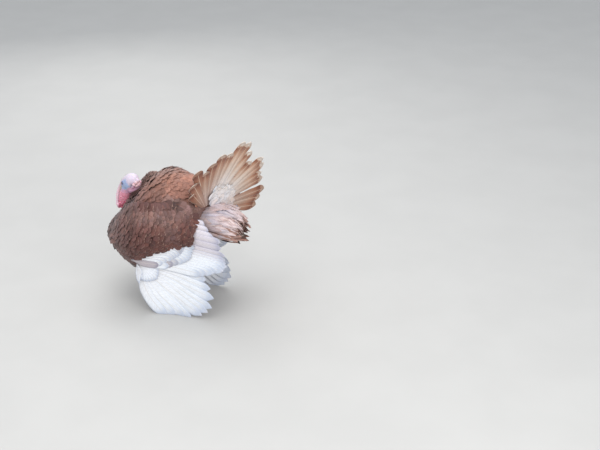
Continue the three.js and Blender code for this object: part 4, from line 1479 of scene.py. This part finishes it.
def secondary_coverts(spread, side, rng):
    """Two rows of coverts over the secondaries' roots; near the wrist about half of them are grey."""
    rows = ((12, 0.5, 17.5, (17, 27)), (13, 0.34, 20.5, (16, 24)))
    for row, (number, share, lift, size) in enumerate(rows):
        for i in range(number):
            u = (i + 0.5) / number
            base, tip = secondary_line(spread, u)
            ahead = unit(tip - base)
            reach = np.linalg.norm(tip - base) * share * rng.uniform(0.94, 1.0)
            start, end = base - 34 * ahead, base + reach * ahead
            made = plate_feather(side, start, end, *size, lift + 0.25 * i, 12, 7, cap=0.8)
            pale = rng.uniform(0, 1)
            grey = ease(-u, -0.34, -0.08) * (pale > 0.45)
            tint = mix(np.ones(3), srgb(214, 200, 198), 0.5 * pale * row)
            yield made, mix(tint, srgb(196, 185, 188), grey), rng.uniform(0.3, 0.9)


def make_flight_feathers():
    """Ten primaries, twelve secondaries, their greater coverts and the thumb feathers of each drooped
    wing."""
    for label, side in SIDES:
        rng, spread = np.random.default_rng(31 + side), SPREAD[label]
        make_primaries(label, side, rng)
        make_secondaries(label, side, rng)
        coverts = list(primary_coverts(spread, side))
        if label == "left":  # on the right wing their tips would come through the tail
            coverts += tertials(side)
        coverts += thumb_feathers(side)
        coverts += secondary_coverts(spread, side, rng)
        made, tints, edges = zip(*coverts)
        name = f"wing_{label}_greater_coverts"
        solid_feathers(name, made, np.array(tints), np.array(edges), rng, wing_material())


def tail_material():
    stops = [
        (0.0, srgb(236, 230, 230)),
        (0.38, srgb(222, 211, 206)),
        (0.58, srgb(214, 195, 181)),
        (0.74, srgb(208, 176, 154)),
        (0.83, srgb(186, 142, 116)),
        (0.89, srgb(150, 102, 78)),
        (0.915, srgb(168, 120, 92)),
        (0.93, srgb(214, 198, 184)),
        (1.0, srgb(222, 211, 200)),
    ]
    # The band darkens each quill's outline: partly the quills' own brown edges, partly painted shade in the
    # gaps between them.
    return feather_material(
        "tail feather",
        stops,
        srgb(238, 226, 212),
        srgb(222, 200, 180),
        streak=0.24,
        band=0.42,
        sides=(0.86, 0.76, 0.7),
    )


# angle of each tail feather from the upright, in degrees towards the bird's right, its reach from the root,
# and its own tone; the feathers stand in loose bundles with gaps between, and some are still growing
TAIL_FEATHERS = np.array(
    [
        [-42, 240, 0.62],
        [-36.5, 318, 0.66],
        [-30.5, 402, 0.62],
        [-24, 346, 0.74],
        [-16.5, 372, 0.7],
        [-9, 404, 0.82],
        [-0.5, 384, 0.92],
        [6, 443, 1.0],
        [13.5, 428, 1.02],
        [22, 372, 1.04],
        [34.5, 318, 0.96],
        [43.5, 364, 1.04],
        [52, 352, 0.98],
        [62, 326, 0.96],
        [71, 334, 0.88],
        [86, 358, 0.74],
        [95, 352, 0.8],
        [103.5, 350, 0.7],
    ]
)


def make_tail_quills():
    """Eighteen long tail feathers: each lies in the cupped fan, widening to a broad rounded tip."""
    rng = np.random.default_rng(41)
    made, tints = [], []
    rows, cols, start = 30, 11, 40
    t, u = vane_rows(rows, 1.4)[:, None], np.linspace(-1, 1, cols)[None, :]
    for i, (degrees, reach, pale) in enumerate(TAIL_FEATHERS):
        angle = math.radians(degrees)
        run = (reach - start) * (t - 0.03 * np.abs(u) ** 2.2 * t**6)
        half = mix(7, 33, t**0.8) * vane_outline(t, root=1, widest=0.1, cap=0.85, blunt=0.42, round_by=2.3)
        frayed = 1 - 0.05 * np.abs(u) * np.sin(23 * t + 9 * rng.uniform()) * ease(t, 0.5, 0.8)
        w = half * u * frayed
        bow = rng.normal(0, 3) * np.sin(np.pi * t)
        lean = 2.4 * w / 33 + 2.0 * ((i % 2) - 0.5)
        faces = []
        for layer in (0.5, -0.5):
            thick = 0.8 * (1 - 0.8 * np.abs(u) ** 4)
            faces.append(fan_point(angle, start + run, w + bow, lean + layer * thick - 2.6 * u**2))
        vane = np.stack([w, run + 0 * w, t + 0 * w], -1)
        rim = np.clip(np.maximum(np.abs(u) ** 3 * 0.92, t**9) + 0 * w, 0, 1)
        made.append((np.stack(faces), vane, rim))
        tints.append(mix(srgb(190, 148, 124), np.ones(3), (pale - 0.6) / 0.4))
    edge = rng.uniform(0.5, 0.9, len(made))
    replaced = ("tail_rectrices",)
    solid_feathers(
        "tail_quills", made, np.array(tints), edge, rng, tail_material(), replaced
    )


# number, reach as a share of the fan's, place in front of the fan, length and width of each row
TAIL_COVERT_ROWS = (
    (24, 0.56, -22, 92, 44),
    (22, 0.47, -33, 84, 42),
    (20, 0.38, -46, 74, 40),
    (18, 0.3, -60, 66, 38),
    (16, 0.22, -74, 60, 36),
)


def make_tail_coverts():
    """Rows of shorter feathers in front of the fan, rust with pale tips, the longest next to the fan."""
    rng = np.random.default_rng(42)
    rows = []
    for number, share, offset, length, width in TAIL_COVERT_ROWS:
        place = (np.arange(number) + rng.uniform(0.3, 0.7, number)) / number
        angle = mix(TAIL_FROM, TAIL_TO, place)
        tip = share * along(TAIL_LENGTH, place)
        root = fan_point(angle, tip - length * 0.93, 0.0 * angle, offset + 10.0 + 0 * angle)
        lie = fan_point(angle, tip, 0.0 * angle, offset + 0 * angle) - root
        out = np.broadcast_to(-TAIL_BACK, root.shape) + 0.15 * unit(lie)
        colour = np.ones((number, 3)) * mix(srgb(170, 112, 84), srgb(146, 92, 70), 1 - share)
        rows.append((root, lie, out, np.full(number, float(length)), np.full(number, float(width)), colour))
    root, lie, out, length, width, colour = (np.concatenate(v) for v in zip(*rows))
    feathers = lay_feathers(
        root, lie, out, length, width, rng, rows=8, lift=3, slope=0.02, flare=-3, cap=0.82
    )
    colour = colour * 1.5 * tone(rng, len(root), 0.12)
    edge, replaced = rng.uniform(0.4, 1, len(root)), ("tail_coverts",)
    coat_piece(
        "tail_covert_feathers", feathers, colour, edge, body_material(), replaced
    )


def undertail_material():
    stops = [
        (0.0, srgb(236, 230, 232)),
        (0.55, srgb(246, 242, 242)),
        (0.8, srgb(240, 230, 226)),
        (0.92, srgb(230, 214, 206)),
        (1.0, srgb(240, 230, 222)),
    ]
    # The band paints light shade along each plume's outline.
    return feather_material(
        "undertail feather",
        stops,
        srgb(236, 222, 208),
        srgb(236, 226, 222),
        streak=0.2,
        band=0.12,
        roughness=0.7,
    )


def make_undertail():
    """Everything loose round the tail's root, from one run of random numbers."""
    rng = np.random.default_rng(43)
    make_undertail_plumes(rng)
    make_vent_feathers(rng)
    make_tail_root_down(rng)


def make_undertail_plumes(rng):
    """Long loose feathers under the tail: white above, buff in the middle and brown at the ragged tips."""
    p, out, ahead, t = pipe_lattice(
        UNDERTAIL_PATH, UNDERTAIL_RADII, 430, 26, low=-0.05, high=1.0, flat=0.86
    )
    high, far = (p[:, 2] - 400) / 100 + rng.normal(0, 0.16, len(p)), (p[:, 1] - 300) / 150
    ragged = ease(far - high, 0.2, 0.9)
    under = ease(-out[:, 2], 0.1, 0.9) * (1 - ease(t, 0.5, 0.85))
    length = (mix(130, 50, ease(t, 0.3, 1.0)) + 28 * under) * rng.uniform(0.85, 1.12, len(p))
    lie = (
        ahead + 0.1 * unit(out) + 0.3 * np.array([0.25, 0.5, -0.5])
        + 0.35 * under[:, None] * np.array([0.2, 0, -1])
    )
    loose = dict(lift=13, slope=0.02, bend=1 / 240, flare=0.5, ruffle=0.11, cap=0.5, blunt=0.2)
    feathers = lay_feathers(p, lie, out, length, 25.0, rng, rows=8, cols=5, **loose)
    white = ease(high - 1.1 * far, 0.25, 0.95)[:, None]
    brown = np.clip(ease(-high, -0.35, 0.35) + ease(far, 0.25, 0.95), 0, 1)[:, None]
    colour = mix(srgb(178, 142, 130), srgb(104, 76, 66), brown)
    colour = mix(colour, srgb(236, 226, 232), white) * tone(rng, len(p), 0.06)
    edge, replaced = ragged * rng.uniform(0.3, 1, len(p)), ("undertail_coverts",)
    coat_piece("undertail_feathers", feathers, colour, edge, undertail_material(), replaced)


def make_vent_feathers(rng, count=170):
    """Soft feathers between the legs and the undertail, on a shallow arch that rises towards the rear."""
    share, back = rng.uniform(-1, 1, count), rng.uniform(0, 1, count)
    height = mix(330, 424, back) - 26 * share**2 + rng.normal(0, 6, count)
    root = np.stack([82 * share, mix(205, 292, back), height], -1)
    ahead = np.stack([0.35 * share, 0.86 + 0 * share, -0.55 + 0 * share], -1)
    outward = np.stack([0.5 * share, 0.45 + 0 * share, -0.8 + 0 * share], -1)
    loose = dict(lift=12, slope=0.03, bend=1 / 240, flare=2, ruffle=0.22, cap=0.5, blunt=0.2)
    feathers = lay_feathers(root, ahead, outward, 96.0, 24.0, rng, rows=7, cols=5, **loose)
    colour = mix(srgb(176, 138, 124), srgb(122, 88, 78), ease(-root[:, 2], -410, -335)[:, None])
    colour = colour * tone(rng, count, 0.08)
    edge = rng.uniform(0.0, 0.4, count)
    coat_piece("vent_feathers", feathers, colour, edge, undertail_material())


def make_tail_root_down(rng, count=240):
    """White downy feathers that climb the back of the fan from its root."""
    share, near = rng.uniform(0, 1, count), np.sqrt(rng.uniform(0, 1, count))
    angle, reach, stand = mix(-0.1, TAIL_TO - 0.05, share), mix(20, 90, near), mix(20, 4, near)
    root = fan_point(angle, reach, 0 * angle, stand)
    ahead = fan_point(angle, reach + 20, 0 * angle, stand) - root
    outward = np.broadcast_to(TAIL_BACK, root.shape)
    loose = dict(lift=2.0, slope=0.0, flare=0.2, cup=0.01, ruffle=0.1, cap=0.5, blunt=0.15)
    feathers = lay_feathers(root, ahead, outward, mix(60, 84, near), 36.0, rng, rows=7, cols=5, **loose)
    colour = mix(np.ones((count, 3)), srgb(236, 214, 206), (ease(share, 0.45, 0.95) * 0.7)[:, None])
    colour = colour * tone(rng, count, 0.05)
    coat_piece(
        "tail_root_down", feathers, colour, rng.uniform(0, 0.3, count), down_material()
    )


def down_material():
    stops = [
        (0.0, srgb(228, 222, 224)),
        (0.5, srgb(244, 240, 242)),
        (0.85, srgb(242, 236, 234)),
        (1.0, srgb(236, 226, 222)),
    ]
    # The band paints faint shade along each feather's outline.
    return feather_material(
        "white down", stops, srgb(240, 234, 230), srgb(232, 224, 222), streak=0.2, band=0.05, roughness=0.75
    )


# ------------------------------------------------------------------ head pieces, beard, claws


def carried_profile(path, tt, aa, wide, high, across=(1.0, 0.0, 0.0)):
    """A profile carried along a path: half width times cosine and half height times sine, square to the
    path."""
    centre, first, second, _ = path_frame(np.asarray(path, float), tt, across)
    return centre + first * (wide * np.cos(aa))[..., None] + second * (high * np.sin(aa))[..., None]


def closed_piece(name, points, material, node, first=0.0, last=1.0):
    """A piece from a grid of points closed round its columns. Its map runs round in U, and along in V, from
    the first row's value to the last row's."""
    rows, cols = points.shape[:2]
    v, u = np.meshgrid(np.linspace(first, last, rows), np.arange(cols) / cols, indexing="ij")
    uv = np.concatenate([np.stack([u, v], -1).reshape(-1, 2), [[0.5, 0.0], [0.5, 1.0]]])
    p, quads, caps = closed_grid(points)
    return finish_piece(add_mesh(name, p, quads, caps, uv=uv, material=material), (node,))


def make_eyes():
    """Each eye is a ball with a slightly raised clear front, turned out along its axis."""
    material = eye_material()
    front, back = 0.02, 0.98
    for label, side in SIDES:
        tt, aa = np.meshgrid(np.linspace(front, back, 26) * np.pi, ring(36), indexing="ij")
        axis = unit(eye_axis(side))
        first = unit(np.cross(axis, [0.0, 0.0, 1.0]))
        second = np.cross(axis, first)
        r = EYE_RADIUS * (1 + 0.05 * np.exp(-((tt / 0.6) ** 2)))
        around = first * np.cos(aa)[..., None] + second * np.sin(aa)[..., None]
        ball = axis * (r * np.cos(tt))[..., None] + around * (r * np.sin(tt))[..., None]
        points = on_head(ball + EYE * np.array([side, 1, 1]))
        closed_piece(f"eyeball_{label}", points, material, f"eye_{label}", front, back)


def make_bill():
    """The bill: a ridged upper half that hooks over the tip, with a nostril in a soft fold each side, and a
    shallower trough-shaped lower half; both are profiles carried along a path in the head's frame."""
    material = horn_material("bill horn", srgb(228, 216, 200), srgb(172, 146, 122), 0.34)
    for name, path, base, ridge, hollow in (
        ("upper_bill", [[0, -34, 3], [0, -60, 1], [0, -80, -5], [0, -92, -18]], 12.0, 1.18, 0.62),
        ("lower_bill", [[0, -36, -14], [0, -58, -15], [0, -78, -16.5]], 9.0, 0.6, 0.95),
    ):
        tt, aa = np.meshgrid(np.linspace(0, 1, 40), ring(32), indexing="ij")
        r = (base - 0.4) * (1 - 0.78 * tt**1.15)
        up = -np.sin(aa)
        high = r * np.where(up > 0, ridge * (1 + 0.1 * np.abs(up) ** 8), hollow)
        local = carried_profile(path, tt, aa, r * (1 - 0.1 * up), high)
        if name == "upper_bill":
            for s in (1, -1):
                far = np.hypot((local[..., 1] + 60) / 2.8, (local[..., 2] - 5) / 1.4)
                near = local[..., 0] * s > 1
                nostril = 2.2 * np.exp(-(far**2)) - 0.8 * np.exp(-(((far - 2.0) / 0.8) ** 2))
                local[..., 0] -= s * near * nostril
        closed_piece(name, on_head(local), material, "bill_" + name.split("_")[0])


def hair_solids(line, thick, first, second, sides, rng, tip=(0.0, 0.0, 0.0)):
    """Many thin closed hairs. Each is a ring of the given number of sides, carried along its line (count,
    rows, 3) at distance thick in the directions first and second; a point closes it at the root and another
    at the tip, and its map is a short slanting streak at a random place. First, second and the line's
    direction are right-handed."""
    count, rows = line.shape[:2]
    rings = [line + thick * (math.cos(x) * first + math.sin(x) * second) for x in ring(sides)]
    ends = np.stack([line[:, 0], line[:, -1] + np.array(tip)], 1)
    flat = np.concatenate([np.stack(rings, 2).reshape(count, -1, 3), ends], 1)
    per, last = rows * sides + 2, (rows - 1) * sides
    j = np.arange(sides)
    k = (j + 1) % sides
    root_cap = np.stack([np.full(sides, per - 2), k, j], -1)
    tip_cap = np.stack([np.full(sides, per - 1), last + j, last + k], -1)
    offset = (np.arange(count) * per)[:, None, None]
    quads = (sheet_faces(rows, sides, closed=True)[None] + offset).reshape(-1, 4)
    caps = (np.concatenate([root_cap, tip_cap])[None] + offset).reshape(-1, 3)
    place = np.broadcast_to(rng.uniform(0.02, 0.98, (count, 1, 2)), (count, per, 2))
    return flat, quads, caps, place + np.linspace(0, PATCH, per)[None, :, None] * [1, 0.3]


def make_beard():
    """The beard: a tassel of coarse bristles that hang from one tuft on the breast."""
    rng = np.random.default_rng(51)
    count = 260
    a, r = rng.uniform(0, 2 * np.pi, count), np.sqrt(rng.uniform(0, 1, count))
    t = np.linspace(0, 1, 9)
    spread = np.stack([r * np.cos(a), 0.55 * r * np.sin(a), 0 * a], -1)
    tt = t[None] * rng.uniform(0.72, 1.0, count)[:, None]
    line = along(np.asarray(BEARD_PATH, float), tt) + spread[:, None] * along([4, 7, 8.5, 6], tt)[..., None]
    line = line + 0.7 * np.sin(tt * 9 + a[:, None])[..., None] * np.array([1, 0.4, 0])
    thick = 0.75 * (1 - 0.7 * t)[None, :, None]
    first, second = np.array([1.0, 0.0, 0.0]), np.array([0.0, -1.0, 0.0])
    flat, quads, caps, uv = hair_solids(line, thick, first, second, 4, rng, tip=(0, 0, -1))
    piece = add_mesh("beard_bristles", flat, quads, caps, uv=uv, material=bristle_material())
    finish_piece(piece, ("beard",))


def make_head_hairs():
    """Sparse black hairs on the crown and nape, a few millimetres long: each follows its aim, sags a little
    and narrows to its tip."""
    rng = np.random.default_rng(52)
    count, clear_of_eye = 260, 14
    i = np.arange(count) + 0.5
    c, a = 1 - 1.5 * i / count, i * GOLDEN
    around = np.sqrt(np.clip(1 - c * c, 0, 1))
    lift = np.where(np.sin(a) > 0, SKULL["rise"], SKULL["drop"])
    q = np.stack(
        [SKULL["wide"] * around * np.cos(a), SKIN_MIDDLE - SKIN_HALF * c, lift * around * np.sin(a)], -1
    )
    keep = (q[:, 2] > -6) & (q[:, 1] > -36)
    for _, side in SIDES:
        keep &= np.linalg.norm(q - EYE * [side, 1, 1], axis=1) > clear_of_eye
    q = q[keep]
    out = unit(q / np.array([SKULL["wide"], SKIN_HALF, 38.0]))
    aim = out + np.array([0, 0.9, 0.1]) + rng.normal(0, 0.25, q.shape)
    size = rng.uniform(3, 7, len(q))
    aim = unit(aim @ HEAD_AXES.T)
    t = np.linspace(0, 1, 4)[None, :, None]
    sag = np.array([0, 0, -0.2]) * size[:, None, None] * t**2
    line = on_head(q)[:, None] + aim[:, None] * t * size[:, None, None] + sag
    first = unit(np.cross(aim, [0.31, 0.87, 0.12]))
    second = np.cross(aim, first)
    thick = 0.16 * (1 - 0.75 * t)
    flat, quads, caps, uv = hair_solids(line, thick, first[:, None], second[:, None], 3, rng)
    material = bpy.data.materials.get("beard bristle") or bristle_material()
    finish_piece(add_mesh("head_hairs", flat, quads, caps, uv=uv, material=material))


def make_claws():
    """Curved claws, one solid for each toe, and the spurs: ridged cones carried along a falling arc."""
    material = horn_material("claw horn", srgb(104, 82, 68), srgb(46, 36, 30), 0.3, 220.0)
    for label, side in SIDES:
        for toe in TOES:
            path = toe_path(toe, side)
            tip = path[-1]
            ahead = tip - path[-2]
            ahead[2] = 0
            ahead = unit(ahead)
            at = lambda reach, z: tip * [1, 1, 0] + ahead * reach + np.array([0, 0, z])
            line = np.array([at(-2, 7.6), at(8, 8.4), at(16, 6.0), at(22.6, 1.9)])
            tt, aa = np.meshgrid(np.linspace(0, 1, 22), ring(18), indexing="ij")
            r = 4.1 * (1 - 0.8 * tt**1.3)
            shape = carried_profile(line, tt, aa, 0.82 * r, r, across=np.cross(ahead, [0, 0, 1.0]))
            closed_piece(f"toe_claw_{label}_{toe}", shape, material, f"claw_{label}_{toe}")
        tt, aa = np.meshgrid(np.linspace(0, 1, 26), ring(20), indexing="ij")
        r = (5.8 + 0.25 * np.sin(tt * 26)) * (1 - 0.84 * tt**1.2)
        shape = carried_profile(mirrored(SPUR_PATH, side), tt, aa, r, r)
        closed_piece(f"leg_spur_{label}", shape, material, f"spur_{label}")


# ------------------------------------------------------------------ stage

CAMERA_HEADING = math.radians(26)  # the body's heading, off square to the view
CAMERA_PITCH = math.radians(25.2)
CAMERA_DISTANCE = 5.24
CAMERA_SENSOR, CAMERA_LENS = 36.0, 64.2
AIM = np.array([0.0, 170.0, 0.0])  # a point of the floor under the bird
AIM_ACROSS, AIM_DOWN = -0.1, 0.06916  # where that point falls, as slopes from the view's middle


def make_stage():
    """Plain floor, soft studio light and the camera."""
    colours = bpy.context.scene.turkey_colours
    m = Shader("studio floor")
    place = m.node("TexCoord").outputs["Object"]
    cloud = m.noise(place, 3.0, 3.0)
    shade = m.blend(m.step(cloud, 0.3, 0.7), np.array(colours.floor) * 0.97, np.array(colours.floor))
    floor_paint = m.finish(
        shade, m.noise(place, 60.0, 4.0), 0.0004, 0.15, Roughness=0.75, Specular_IOR_Level=0.2
    )
    corners = 60.0 * np.array([[-1, -1, 0], [1, -1, 0], [1, 1, 0], [-1, 1, 0]])
    floor = add_mesh("studio_floor", corners, [[0, 1, 2, 3]], material=floor_paint, scene=False)
    floor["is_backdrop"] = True
    world = bpy.data.worlds.new("studio")
    bpy.context.scene.world = world
    world.use_nodes = True
    background = world.node_tree.nodes["Background"]
    background.inputs["Color"].default_value = (0.88, 0.93, 1.0, 1.0)
    background.inputs["Strength"].default_value = 0.8
    bpy.context.scene.view_settings.view_transform = "Standard"
    target = Vector((0, 0, 0.4))
    for name, place, size, power in (
        ("key", (2.4, 0.2, 3.9), 3.0, 52),
        ("top", (-0.6, -0.2, 4.6), 4.0, 84),
        ("side", (3.0, 3.4, 1.9), 3.0, 88),
        ("fill", (-3.2, -2.2, 2.4), 3.0, 30),
    ):
        light = bpy.data.lights.new(name, "AREA")
        light.shape, light.size, light.energy = "DISK", size, power
        lamp = bpy.data.objects.new(name, light)
        lamp.location = place
        lamp.rotation_euler = (target - Vector(place)).to_track_quat("-Z", "Y").to_euler()
        bpy.context.scene.collection.objects.link(lamp)
    make_camera()


def make_camera():
    """The camera looks down at the bird from behind its left side."""
    away = np.array([-math.cos(CAMERA_HEADING), -math.sin(CAMERA_HEADING)])
    reach = CAMERA_DISTANCE * (math.cos(CAMERA_PITCH) - AIM_DOWN * math.sin(CAMERA_PITCH))
    turn = math.atan2(CAMERA_DISTANCE * AIM_ACROSS, reach)
    c, s = math.cos(turn), math.sin(turn)
    ahead = np.array([c * away[0] - s * away[1], s * away[0] + c * away[1]])
    right = np.array([ahead[1], -ahead[0], 0.0])
    forward = np.array([*ahead * math.cos(CAMERA_PITCH), -math.sin(CAMERA_PITCH)])
    up = np.array([*ahead * math.sin(CAMERA_PITCH), math.cos(CAMERA_PITCH)])
    place = to_scene(AIM) - CAMERA_DISTANCE * (forward + right * AIM_ACROSS - up * AIM_DOWN)
    data = bpy.data.cameras.new("camera")
    data.sensor_width, data.lens = CAMERA_SENSOR, CAMERA_LENS
    camera = bpy.data.objects.new("camera", data)
    rows = [[right[i], up[i], -forward[i], place[i]] for i in range(3)]
    camera.matrix_world = Matrix(rows + [[0, 0, 0, 1]])
    bpy.context.scene.collection.objects.link(camera)
    bpy.context.scene.camera = camera


# ------------------------------------------------------------------ operators and panel


def build_skin():
    skin = make_skin()
    flesh = ["trunk", "neck", "throat", "head", "caruncles", "snood"]
    flesh += [f"{part}_{label}" for part in ("thigh", "shank", "foot") for label, _ in SIDES]
    finish_piece(skin, flesh)


def build_coat():
    make_body_feathers()
    make_neck_feathers()
    make_thigh_feathers()
    make_arm_feathers()


def build_tail():
    make_tail_quills()
    make_tail_coverts()
    make_undertail()


def build_head_pieces():
    make_eyes()
    make_bill()
    make_beard()
    make_head_hairs()


class PieceOperator:
    """What every piece's operator does: it makes its pieces and says that it is done."""

    bl_options = {"REGISTER", "UNDO"}

    def execute(self, context):
        self.make()
        return {"FINISHED"}


class TURKEY_OT_skin(PieceOperator, bpy.types.Operator):
    """Make the one skin under the feathers, bare on the head, throat and legs"""

    bl_idname = "turkey.skin"
    bl_label = "Skin"
    make = staticmethod(build_skin)


class TURKEY_OT_coat(PieceOperator, bpy.types.Operator):
    """Make the contour feathers of the trunk, neck, thighs and arms"""

    bl_idname = "turkey.coat"
    bl_label = "Body feathers"
    make = staticmethod(build_coat)


class TURKEY_OT_wings(PieceOperator, bpy.types.Operator):
    """Make the flight feathers of both wings with their greater coverts"""

    bl_idname = "turkey.wings"
    bl_label = "Flight feathers"
    make = staticmethod(make_flight_feathers)


class TURKEY_OT_tail(PieceOperator, bpy.types.Operator):
    """Make the fan, the coverts in front of it and the loose feathers under it"""

    bl_idname = "turkey.tail"
    bl_label = "Tail"
    make = staticmethod(build_tail)


class TURKEY_OT_head(PieceOperator, bpy.types.Operator):
    """Make the eyes, bill, beard and the hairs of the head"""

    bl_idname = "turkey.head"
    bl_label = "Eyes, bill and beard"
    make = staticmethod(build_head_pieces)


class TURKEY_OT_claws(PieceOperator, bpy.types.Operator):
    """Make the claws and spurs"""

    bl_idname = "turkey.claws"
    bl_label = "Claws and spurs"
    make = staticmethod(make_claws)


class TURKEY_OT_stage(PieceOperator, bpy.types.Operator):
    """Make the floor, lights and camera"""

    bl_idname = "turkey.stage"
    bl_label = "Stage"
    make = staticmethod(make_stage)


OPERATORS = (
    TURKEY_OT_skin,
    TURKEY_OT_coat,
    TURKEY_OT_wings,
    TURKEY_OT_tail,
    TURKEY_OT_head,
    TURKEY_OT_claws,
    TURKEY_OT_stage,
)


class TURKEY_PT_panel(bpy.types.Panel):
    """Sizes, colours and one button for each group of pieces."""

    bl_label = "Turkey"
    bl_idname = "TURKEY_PT_panel"
    bl_space_type = "VIEW_3D"
    bl_region_type = "UI"
    bl_category = "Turkey"

    def draw(self, context):
        for settings in (context.scene.turkey_sizes, context.scene.turkey_colours):
            for key in settings.__annotations__:
                self.layout.prop(settings, key)
        for operator in OPERATORS:
            self.layout.operator(operator.bl_idname)


CLASSES = (TurkeyColours, TurkeySizes, *OPERATORS, TURKEY_PT_panel)


def register():
    for cls in CLASSES:
        bpy.utils.register_class(cls)
    bpy.types.Scene.turkey_colours = bpy.props.PointerProperty(type=TurkeyColours)
    bpy.types.Scene.turkey_sizes = bpy.props.PointerProperty(type=TurkeySizes)


def unregister():
    del bpy.types.Scene.turkey_colours
    del bpy.types.Scene.turkey_sizes
    for cls in reversed(CLASSES):
        bpy.utils.unregister_class(cls)


def main():
    register()
    bpy.ops.turkey.skin()
    bpy.ops.turkey.coat()
    bpy.ops.turkey.wings()
    bpy.ops.turkey.tail()
    bpy.ops.turkey.head()
    bpy.ops.turkey.claws()
    bpy.ops.turkey.stage()
    boxes = {"cad": CAD_BOUNDS, "visual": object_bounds()}
    {key: [[float(x) for x in corner] for corner in box] for key, box in boxes.items()}


if __name__ == "__main__":
    main()
